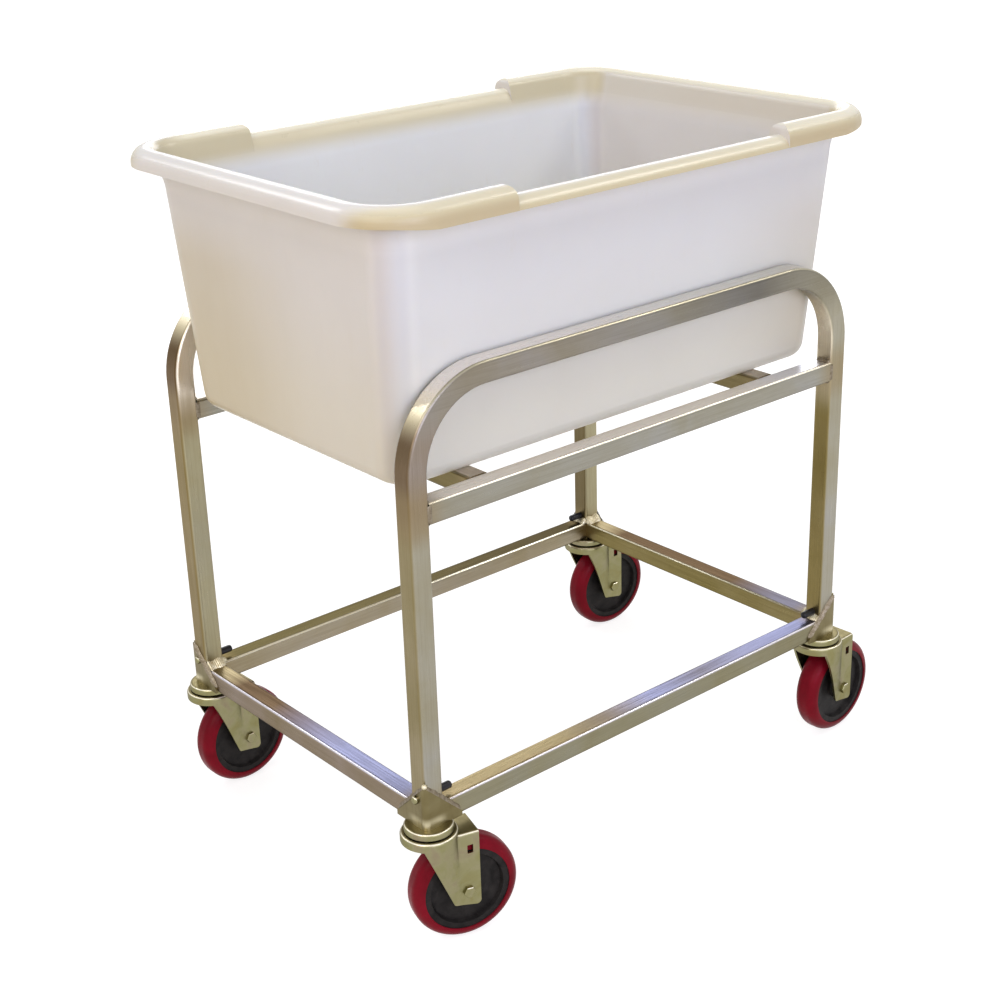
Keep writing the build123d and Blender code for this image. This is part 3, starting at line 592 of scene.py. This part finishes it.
def loop_top(paint):
    """Painted reflections: cream along the top bar, a little darker towards the far end, and golden round
    the bends.
    """
    bar = toned_along(X, LOOP_HIGH.x, LOOP_TOP_REFLECTIONS)
    return paint.mix(paint.looks_up(LOOP_BAR_LOOK), BEND_GOLDEN_REFLECTION, bar(paint))


def above_rail(paint, rail, span):
    """1 above the top of a rail and 0 below it, over a span of heights from that top."""
    rail_top = middle(rail).z + TUBE / 2
    start, end = span
    return paint.fade(paint.axis(Z), rail_top + start, rail_top + end)


def loop_tint(across, near_leg, far_leg):
    """Painted light and shade on a loop: tints of its faces, and the light from the tub and its shade on
    the legs.
    """
    def tint(paint, body):
        along = paint.looks_along(X, FACE_LOOK)
        far = paint.fade(paint.axis(X), FRAME_CENTRE.x - TUBE, FRAME_CENTRE.x + TUBE)
        faces = paint.mix(along, across, paint.mix(far, near_leg, far_leg))
        body = paint.tint(1.0, body, faces)
        bar = toned_along(X, LOOP_HIGH.x, BAR_PAINTED_SHADE)
        body = paint.tint(top_bar(paint), body, bar(paint))
        lit = paint.product(far, above_rail(paint, "mid_rail_near", LIT_LEG_SPAN))
        body = paint.mix(paint.product(along, lit), body, LIT_LEG)
        shade = paint.product(paint.rest(far), above_rail(paint, "mid_rail_near", SHADED_LEG_SPAN))
        body = paint.tint(paint.product(along, shade), body, SHADED_LEG_TINT)
        below_bar = paint.rest(paint.math("MAXIMUM", along, top_bar(paint)))
        return paint.tint(paint.product(below_bar, shade), body, SHADED_BEND_TINT)
    return tint


def far_loop_tint(paint, body):
    """The far loop's painted light and shade, with the light from the tub on its near bend."""
    body = loop_tint(**FAR_LOOP_LIGHT_AND_SHADE)(paint, body)
    start, end = LIT_BEND_REACH
    bend = paint.fade(paint.axis(X), LOOP_LOW.x + start, LOOP_LOW.x + end, low=1.0, high=0.0)
    inner = paint.fade(paint.facing(Y), *LIT_BEND_LOOK, low=1.0, high=0.0)
    above = above_rail(paint, "mid_rail_far", LIT_BEND_SPAN)
    return paint.mix(paint.product(bend, inner, above), body, LIT_BEND)


def drawn_round_loop(paint):
    """Drawing lines that run up the legs of a loop and along its top bar."""
    up = drawn_along(Z)(paint)
    along = drawn_along(X)(paint)
    return paint.blend(top_bar(paint), up, along)


def heat_on_legs(paint):
    """Heat on the legs near the heights where rails are welded on."""
    share = 0.0
    for rail in ("mid_rail_near", "lower_rail_near"):
        away = paint.distance(paint.axis(Z), middle(rail).z)
        there = paint.fade(away, TUBE / 2, TUBE / 2 + HEAT_REACH, low=1.0, high=0.0)
        share = paint.math("MAXIMUM", share, there)
    return share


def dress_loops():
    for side, tint in (("near", loop_tint(**NEAR_LOOP_LIGHT_AND_SHADE)), ("far", far_loop_tint)):
        dress(f"side_loop_{side}", satin_tube(
            f"side_loop_{side}_look",
            lines=drawn_round_loop,
            weld_heat=heat_on_legs,
            edge_axis=Y,
            edge_highlight=DULL_EDGE_HIGHLIGHT,
            top=loop_top,
            top_share=top_and_bends,
            tint=tint,
            grazing=1.0,
        ))


# Corner gussets

GUSSET_TONES = [(0.25, (0.150, 0.120, 0.052)), (0.50, (0.195, 0.162, 0.078)), (0.75, (0.240, 0.208, 0.118))]
GUSSET_STREAK = (0.120, 0.092, 0.040)
STREAK_STRETCH = (1.0, 1.0, 0.15)

# The gussets' sheet, the height of their ends, and the size of the part by the fold that gets a painted
# bright reflection
GUSSET_SHEET = 0.003
GUSSET_END = 0.006
GUSSET_REFLECTION_SIZE = 0.016
GUSSET_FOLD_REFLECTION = (0.58, 0.52, 0.34)


def gusset_plate():
    """Plated angle plate: olive gold and streaked, with a painted bright reflection at the bottom of its
    fold.
    """
    paint = Paint("gusset_look")
    cloud = paint.noise(scale=22.0, detail=5.0, warp=0.8)
    body = paint.ramp(cloud, GUSSET_TONES)
    low, high = (Vector(p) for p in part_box("corner_gusset_far"))
    lowest = paint.fade(paint.axis(Z), low.z + GUSSET_END, low.z + GUSSET_REFLECTION_SIZE, low=1.0, high=0.0)
    along, across = (paint.distance(paint.axis(index), FRAME_CENTRE[index]) for index in (X, Y))
    fold = high.x - FRAME_CENTRE.x + high.y
    by_fold = paint.fade(paint.math("ADD", along, across), fold - 2 * GUSSET_REFLECTION_SIZE, fold - GUSSET_REFLECTION_SIZE)
    body = paint.mix(paint.product(lowest, by_fold), body, GUSSET_FOLD_REFLECTION)
    streak = paint.noise(scale=150.0, detail=4.0, stretch=STREAK_STRETCH)
    streaked = paint.fade(streak, start=0.45, end=0.75, high=0.35)
    paint.set(
        Base_Color=paint.mix(streaked, body, GUSSET_STREAK),
        Metallic=1.0,
        Roughness=paint.fade(cloud, start=0.30, end=0.70, low=0.30, high=0.46),
        Normal=paint.bump(streak, distance=0.0001, strength=0.35),
    )
    return paint.material


def dress_gussets():
    gusset = gusset_plate()
    for corner in CORNERS:
        dress(f"corner_gusset_{corner}", gusset)


# Casters

ZINC_TONES = [
    (0.25, (0.238, 0.206, 0.086)),
    (0.42, (0.260, 0.244, 0.118)),
    (0.56, (0.288, 0.265, 0.150)),
    (0.70, (0.272, 0.226, 0.142)),
    (0.82, (0.233, 0.232, 0.122)),
]

# Painted highlights where the zinc looks up at a slant, and painted shade on the flat tops
ZINC_SLOPE_HIGHLIGHT = (0.85, 0.79, 0.64)
ZINC_SLOPE_LOOK = (0.52, 0.70)
ZINC_FLAT_SHADE = (0.24, 0.205, 0.105)
ZINC_FLAT_LOOK = (0.76, 0.90)
ZINC_RUB = (0.205, 0.180, 0.095)
ZINC_GRAZING = 0.6

BALL_TONES = [(0.3, (0.52, 0.52, 0.53)), (0.7, (0.62, 0.62, 0.63))]

# How many times finer the grain of a moulded piece is than its clouds
GRAIN_PER_CLOUD = 18.0


def zinc_plate():
    """Yellow zinc plate with faint rainbow clouds and pressing marks, painted highlights where it looks up
    at a slant, and painted shade on its flat tops.
    """
    paint = Paint("zinc_look")
    body = paint.ramp(paint.noise(scale=26.0, detail=3.0, warp=1.2), ZINC_TONES)
    body = paint.mix(paint.looks_up(ZINC_SLOPE_LOOK), body, ZINC_SLOPE_HIGHLIGHT)
    body = paint.mix(paint.looks_up(ZINC_FLAT_LOOK), body, ZINC_FLAT_SHADE)
    rub = paint.noise(scale=190.0, detail=5.0, rough=0.7, warp=0.5)
    rubbed = paint.fade(rub, start=0.55, end=0.80, high=0.35)
    paint.set(
        Base_Color=paint.mix(rubbed, body, ZINC_RUB),
        Metallic=1.0,
        Roughness=paint.fade(rub, start=0.30, end=0.75, low=0.28, high=0.44),
        Specular_Tint=(ZINC_GRAZING, ZINC_GRAZING, ZINC_GRAZING),
        Normal=paint.bump(rub, distance=0.00008, strength=0.4),
    )
    return paint.material


def bright_balls():
    paint = Paint("ball_look")
    speck = paint.noise(scale=700.0, detail=3.0)
    paint.set(
        Base_Color=paint.ramp(speck, BALL_TONES),
        Metallic=1.0,
        Roughness=paint.fade(speck, start=0.3, end=0.7, low=0.12, high=0.24),
    )
    return paint.material


def moulded(name, dark, light, scale, smooth, rough, grain, gloss):
    """Plain moulded plastic or rubber with cloudy colour, handling marks and a fine grain."""
    paint = Paint(name)
    cloud = paint.noise(scale=scale, detail=4.0, warp=0.4)
    fine = paint.noise(scale=scale * GRAIN_PER_CLOUD, detail=4.0, rough=0.65)
    body = paint.ramp(cloud, [(0.30, dark), (0.70, light)])
    marked = paint.fade(fine, start=0.50, end=0.80, high=0.30)
    paint.set(
        Base_Color=paint.mix(marked, body, dark),
        Roughness=paint.fade(fine, start=0.30, end=0.70, low=smooth, high=rough),
        Specular_IOR_Level=gloss,
        Normal=paint.bump(fine, distance=grain, strength=0.5),
    )
    return paint.material


def dress_casters():
    zinc = zinc_plate()
    core = moulded(
        "core_look", dark=(0.007, 0.006, 0.006), light=(0.030, 0.027, 0.026),
        scale=70.0, smooth=0.38, rough=0.58, grain=0.0002, gloss=0.12,
    )
    tread = moulded(
        "tread_look", dark=(0.150, 0.004, 0.011), light=(0.245, 0.006, 0.019),
        scale=24.0, smooth=0.28, rough=0.42, grain=0.0001, gloss=0.08,
    )
    bush = moulded(
        "bush_look", dark=(0.30, 0.27, 0.21), light=(0.42, 0.39, 0.32),
        scale=60.0, smooth=0.40, rough=0.55, grain=0.0001, gloss=0.4,
    )
    cap = moulded(
        "cap_look", dark=(0.006, 0.006, 0.008), light=(0.014, 0.013, 0.018),
        scale=90.0, smooth=0.25, rough=0.42, grain=0.0001, gloss=0.3,
    )
    dress("stem_bolts", zinc)
    dress("bolt_caps", cap)
    dress("caster_balls", bright_balls())
    for corner in CORNERS:
        for name in ("caster_stem", "upper_race", "king_nut", "fork", "axle_bolt", "axle_nut"):
            dress(f"{name}_{corner}", zinc)
        dress(f"wheel_core_{corner}", core)
        dress(f"wheel_tread_{corner}", tread)
        dress(f"wheel_bush_{corner}", bush)


# Weld beads

# Legs of the fillet beads, and the half width and height of the flush ones
BEAD_LEG = 0.0034
GUSSET_BEAD_LEG = 0.0040
CORNER_BEAD_LEG = 0.0065
END_BEAD_LEG = 0.0090
BEAD_HALF_WIDTH = 0.0030
BEAD_PROUD = 0.0008
BEAD_SINK = 0.0004
BEAD_FLATNESS = 0.75

# Ripples along a bead, slower wobbles of its size, the share of a flush bead's width that they don't
# change, and how blunt its tips are
BEAD_PITCH = 0.0024
BEAD_RIPPLE = 0.06
WOBBLE_PITCH = 6.3 * BEAD_PITCH
BEAD_WOBBLE = 0.10
STEADY_WIDTH = 0.7
TIP_BLUNTNESS = 10
TIP_LEAST = 0.05

# Points of a bead: the step along it, the fewest steps, the points across it, and the seed of its phases
BEAD_STEP = 0.0006
BEAD_FEWEST_STEPS = 4
BEAD_POINTS = 9
BEAD_SEED = 7

# Round dabs of weld
DAB_RADIUS = 0.0030
DAB_ROWS = 10
DAB_STEPS = 16

# Beads on the flat faces of a tube stop this far before its corners, and the ones along a gusset's slanted
# edge lie between these shares of it
TUBE_CORNER = 0.003
GUSSET_BEAD_SPAN = (0.06, 0.98)


class Welds:
    """Weld beads of the frame, gathered into one mesh."""

    def __init__(self):
        self.points = []
        self.faces = []
        self.chance = random.Random(BEAD_SEED)

    def bead(self, start, end, side, away, fillet, leg):
        """
        One rippled bead along a seam. `side` looks out from the rail's face and `away` runs along the
        rail from its end. A fillet bead fills the corner between the two, and a flush one lies
        across the seam.
        """
        run = end - start
        rows = max(BEAD_FEWEST_STEPS, round(run.length / BEAD_STEP))
        first = len(self.points)
        phase = self.chance.uniform(0, 2 * pi)
        for row in range(rows + 1):
            share = row / rows
            along = share * run.length
            ripple = 1 + BEAD_RIPPLE * sin(2 * pi * along / BEAD_PITCH + phase)
            wobble = 1 + BEAD_WOBBLE * sin(2 * pi * along / WOBBLE_PITCH + 2 * phase)
            tip = max(TIP_LEAST, 1 - abs(2 * share - 1) ** TIP_BLUNTNESS)
            size = ripple * wobble * sqrt(tip)
            seam = start + run * share
            for step in range(BEAD_POINTS):
                turn = step / (BEAD_POINTS - 1)
                self.points.append(seam + self.outline(turn, size, side, away, fillet, leg))
        self.skin(first, rows)

    def outline(self, turn, size, side, away, fillet, leg):
        """One point across a bead, from the seam: `turn` goes from 0 to 1 across it."""
        if fillet:
            angle = turn * pi / 2
            sunk = -BEAD_SINK * (side + away)
            flat = 1 / (cos(angle) + sin(angle))
            reach = leg * size * (1 - BEAD_FLATNESS + BEAD_FLATNESS * flat) + BEAD_SINK
            return sunk + reach * (side * cos(angle) + away * sin(angle))
        angle = turn * pi
        width = BEAD_HALF_WIDTH * (STEADY_WIDTH + (1 - STEADY_WIDTH) * size)
        return away * (width * cos(angle)) + side * (BEAD_PROUD * size * sin(angle) - BEAD_SINK / 2)

    def skin(self, first, rows):
        """Faces over the rows of a bead, and one on each of its tips."""
        for row in range(rows):
            for step in range(BEAD_POINTS - 1):
                corner = first + row * BEAD_POINTS + step
                self.faces.append((corner, corner + 1, corner + BEAD_POINTS + 1, corner + BEAD_POINTS))
        for tip in (first, first + rows * BEAD_POINTS):
            self.faces.append(tuple(range(tip, tip + BEAD_POINTS)))

    def dab(self, centre):
        """A round lump of weld metal."""
        first = len(self.points)
        for row in range(DAB_ROWS + 1):
            tilt = pi * row / DAB_ROWS
            for step in range(DAB_STEPS):
                turn = 2 * pi * step / DAB_STEPS
                out = Vector((sin(tilt) * cos(turn), sin(tilt) * sin(turn), cos(tilt)))
                self.points.append(centre + DAB_RADIUS * out)
        for row in range(DAB_ROWS):
            here = first + row * DAB_STEPS
            below = here + DAB_STEPS
            for step in range(DAB_STEPS):
                after = (step + 1) % DAB_STEPS
                self.faces.append((here + step, below + step, below + after, here + after))

    def joint(self, centre, away, sides, half, leg):
        """The beads round one end of a rail: `sides` gives each face's outward direction and bead kind."""
        for side, fillet in sides:
            seam = centre + side * (TUBE / 2)
            across = side.cross(away) * half
            self.bead(seam - across, seam + across, side, away, fillet, leg)

    def ends(self, rail, along, sides, half, leg):
        """Beads round both ends of a rail that runs along one axis."""
        low, high = (Vector(p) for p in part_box(rail))
        reach = along * ((high - low).dot(along) / 2)
        centre = (low + high) / 2
        self.joint(centre - reach, along, sides, half, leg)
        self.joint(centre + reach, -along, sides, half, leg)

    def finish(self, name, material):
        mesh = bpy.data.meshes.new(name)
        mesh.from_pydata([tuple(p) for p in self.points], [], self.faces)
        mesh.validate()
        mesh.update()
        mesh.polygons.foreach_set("use_smooth", [True] * len(mesh.polygons))
        mesh.materials.append(material)
        piece = bpy.data.objects.new(name, mesh)
        bpy.context.scene.collection.objects.link(piece)
        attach(piece, "frame")


def weld_metal(name, dark, straw, light):
    """Weld metal with heat colours between the ripples."""
    paint = Paint(name)
    cloud = paint.noise(scale=240.0, detail=4.0, warp=0.6)
    paint.set(
        Base_Color=paint.ramp(cloud, [(0.30, dark), (0.50, straw), (0.70, light)]),
        Metallic=1.0,
        Roughness=paint.fade(cloud, start=0.30, end=0.70, low=0.56, high=0.42),
        Normal=paint.bump(cloud, distance=0.0002, strength=0.5),
    )
    return paint.material


def weld_frame():
    """Brown beads on the rails and gussets, and bright weld in the corners of the lowest rails."""
    welds = Welds()
    corner_welds = Welds()
    half = TUBE / 2 - TUBE_CORNER
    all_round = [(UP, True), (-UP, True), (ACROSS, False), (-ACROSS, False)]
    both_sides = [(ALONG, True), (-ALONG, True)]
    on_top = [(UP, True)]
    for side in SIDES:
        welds.ends(f"mid_rail_{side}", ALONG, all_round, half, BEAD_LEG)
        welds.ends(f"cross_rail_{side}_end", ACROSS, both_sides, half, BEAD_LEG)
        corner_welds.ends(f"lower_rail_{side}", ALONG, on_top, TUBE / 2, CORNER_BEAD_LEG)
        corner_welds.ends(f"end_rail_{side}_end", ACROSS, on_top, TUBE / 2, END_BEAD_LEG)
    for corner in CORNERS:
        weld_gusset(welds, corner_welds, corner)
    brown = weld_metal(
        "weld_look",
        dark=(0.185, 0.148, 0.095),
        straw=(0.245, 0.203, 0.145),
        light=(0.300, 0.260, 0.205),
    )
    bright = weld_metal(
        "corner_weld_look",
        dark=(0.480, 0.410, 0.260),
        straw=(0.640, 0.570, 0.400),
        light=(0.800, 0.750, 0.600),
    )
    welds.finish("frame_welds", brown)
    corner_welds.finish("corner_welds", bright)


def weld_gusset(welds, dabs, corner):
    """A bead along the slanted edge of each wing of a gusset, and a dab on the fold of the front one."""
    low, high = (Vector(p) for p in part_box(f"corner_gusset_{corner}"))
    outward = [ALONG if low.x > FRAME_CENTRE.x else -ALONG, ACROSS if low.y > 0 else -ACROSS]
    fold = Vector((high.x if outward[X].x > 0 else low.x, high.y if outward[Y].y > 0 else low.y, high.z))
    reach = high.x - low.x
    if corner == "front":
        dabs.dab(fold - (outward[X] + outward[Y]) * GUSSET_SHEET / 2)
    for side, along in (outward, outward[::-1]):
        top = fold - side * GUSSET_SHEET
        end = top - along * reach + UP * (low.z + GUSSET_END - high.z)
        start, stop = (top + (end - top) * share for share in GUSSET_BEAD_SPAN)
        away = (UP * reach - along * (top.z - end.z)).normalized()
        welds.bead(start, stop, side, away, True, GUSSET_BEAD_LEG)


# Studio

# The floor's glow under the object and further off, the distances between which it changes, the share of
# the falling light that the floor shows, and the colour that it throws back on the object
FLOOR_HALF = 9.0
FLOOR_GLOW = 0.80
FLOOR_GLOW_FAR = 1.0
FLOOR_GLOW_REACH = (0.7, 2.2)
FLOOR_SHADOW_SHARE = 0.42
FLOOR_BOUNCE = (0.80, 0.71, 0.55)

# Light from all around
SKY_COLOUR = (1.0, 0.98, 0.96)
SKY_STRENGTH = 0.36
WHITE = (1.0, 1.0, 1.0, 1.0)

# Soft lights, which all look at one point over the middle of the frame
LIGHT_AIM = FRAME_CENTRE + 0.55 * UP
WARM_LIGHT = (1.0, 0.94, 0.88)
BLUE_LIGHT = (0.74, 0.76, 1.0)
YELLOW_LIGHT = (1.0, 0.945, 0.83)
COOL_LIGHT = (0.94, 0.95, 1.0)
IVORY_LIGHT = (1.0, 0.97, 0.90)
ICE_LIGHT = (0.95, 0.96, 1.0)


def add_node(tree, kind, **values):
    """A new node with some of its inputs set. Underscores in their names stand for spaces."""
    node = tree.nodes.new(kind)
    for name, value in values.items():
        node.inputs[name.replace("_", " ")].default_value = value
    return node


def seen_share(tree):
    """1 for rays that see the backdrop, mirrored or through something too, and 0 for the others."""
    path = add_node(tree, "ShaderNodeLightPath")
    share = path.outputs["Is Camera Ray"]
    for kind in ("Is Glossy Ray", "Is Transmission Ray"):
        either = add_node(tree, "ShaderNodeMath")
        either.operation = "MAXIMUM"
        tree.links.new(share, either.inputs[0])
        tree.links.new(path.outputs[kind], either.inputs[1])
        share = either.outputs["Value"]
    return share


def end_in(tree, out, lighting, seen):
    """End a tree in one shader for the rays that carry light and another for the ones that see it."""
    choose = add_node(tree, "ShaderNodeMixShader")
    tree.links.new(seen_share(tree), choose.inputs["Fac"])
    tree.links.new(lighting, choose.inputs[1])
    tree.links.new(seen, choose.inputs[2])
    tree.links.new(choose.outputs["Shader"], out.inputs["Surface"])


def white_world():
    world = bpy.data.worlds.new("studio")
    bpy.context.scene.world = world
    world.use_nodes = True
    tree = world.node_tree
    tree.nodes.clear()
    seen = add_node(tree, "ShaderNodeBackground", Color=WHITE, Strength=1.0)
    glow = add_node(tree, "ShaderNodeBackground", Color=(*SKY_COLOUR, 1.0), Strength=SKY_STRENGTH)
    out = add_node(tree, "ShaderNodeOutputWorld")
    end_in(tree, out, glow.outputs["Background"], seen.outputs["Background"])


def floor_glow(tree):
    """White light of the floor itself, a little weaker under the object."""
    place = add_node(tree, "ShaderNodeTexCoord")
    distance = add_node(tree, "ShaderNodeVectorMath")
    distance.operation = "LENGTH"
    start, end = FLOOR_GLOW_REACH
    spread = add_node(
        tree, "ShaderNodeMapRange", From_Min=start, From_Max=end, To_Min=FLOOR_GLOW, To_Max=FLOOR_GLOW_FAR)
    glow = add_node(tree, "ShaderNodeEmission", Color=WHITE)
    tree.links.new(place.outputs["Object"], distance.inputs[0])
    tree.links.new(distance.outputs["Value"], spread.inputs["Value"])
    tree.links.new(spread.outputs["Result"], glow.inputs["Strength"])
    return glow.outputs["Emission"]


def floor_look():
    material = bpy.data.materials.new("studio_floor_look")
    material.use_nodes = True
    tree = material.node_tree
    tree.nodes.clear()
    bounce = add_node(tree, "ShaderNodeBsdfDiffuse", Color=(*FLOOR_BOUNCE, 1.0))
    grey = (FLOOR_SHADOW_SHARE, FLOOR_SHADOW_SHARE, FLOOR_SHADOW_SHARE, 1.0)
    shade = add_node(tree, "ShaderNodeBsdfDiffuse", Color=grey)
    seen = add_node(tree, "ShaderNodeAddShader")
    tree.links.new(shade.outputs["BSDF"], seen.inputs[0])
    tree.links.new(floor_glow(tree), seen.inputs[1])
    out = add_node(tree, "ShaderNodeOutputMaterial")
    end_in(tree, out, bounce.outputs["BSDF"], seen.outputs["Shader"])
    return material


def white_floor():
    mesh = bpy.data.meshes.new("studio_floor")
    edge = FLOOR_HALF
    corners = [(-edge, -edge, 0), (edge, -edge, 0), (edge, edge, 0), (-edge, edge, 0)]
    mesh.from_pydata(corners, [], [(0, 1, 2, 3)])
    mesh.materials.append(floor_look())
    floor = bpy.data.objects.new("studio_floor", mesh)
    bpy.context.scene.collection.objects.link(floor)


def soft_light(name, place, size, power, colour):
    lamp = bpy.data.lights.new(name, "AREA")
    lamp.shape = "RECTANGLE"
    lamp.size, lamp.size_y = size
    lamp.energy = power
    lamp.color = colour
    holder = bpy.data.objects.new(name, lamp)
    holder.location = place
    holder.rotation_euler = (LIGHT_AIM - Vector(place)).to_track_quat("-Z", "Y").to_euler()
    holder.visible_camera = False
    bpy.context.scene.collection.objects.link(holder)


def studio():
    white_world()
    white_floor()
    soft_light("key_light", place=(-2.6, -1.0, 2.1), size=(1.8, 1.8), power=29.5, colour=WARM_LIGHT)
    soft_light("side_light", place=(-0.8, -2.9, 1.5), size=(2.2, 1.6), power=36.0, colour=BLUE_LIGHT)
    soft_light("top_light", place=(0.1, 0.3, 3.2), size=(1.6, 1.6), power=8.0, colour=YELLOW_LIGHT)
    soft_light("back_light", place=(1.9, 2.3, 1.9), size=(2.4, 1.2), power=22.0, colour=COOL_LIGHT)
    soft_light("right_edge_light", place=(1.8, -1.2, 2.6), size=(0.7, 0.7), power=13.0, colour=IVORY_LIGHT)
    soft_light("left_edge_light", place=(-1.2, 2.1, 2.4), size=(0.7, 0.7), power=11.0, colour=ICE_LIGHT)


def camera():
    yaw, pitch, painted_roll_shading = (radians(angle) for angle in (CAMERA_YAW, CAMERA_PITCH, CAMERA_ROLL))
    forward = Vector((cos(pitch) * cos(yaw), cos(pitch) * sin(yaw), -sin(pitch)))
    level_right = Vector((sin(yaw), -cos(yaw), 0.0))
    level_down = forward.cross(level_right)
    right = cos(painted_roll_shading) * level_right + sin(painted_roll_shading) * level_down
    down = cos(painted_roll_shading) * level_down - sin(painted_roll_shading) * level_right
    turn = Matrix((right, -down, -forward)).transposed().to_4x4()
    lens = bpy.data.cameras.new("photo_camera")
    lens.lens = LENS
    lens.sensor_width = SENSOR
    holder = bpy.data.objects.new("photo_camera", lens)
    holder.matrix_world = Matrix.Translation(FRAME_CENTRE + CAMERA_FROM_FRAME) @ turn
    bpy.context.scene.collection.objects.link(holder)
    bpy.context.scene.camera = holder


dress("tub", tub_plastic())
dress_loops()
dress_rails()
dress_gussets()
dress_casters()
weld_frame()
studio()
camera()
bpy.context.scene.view_settings.view_transform = "Standard"
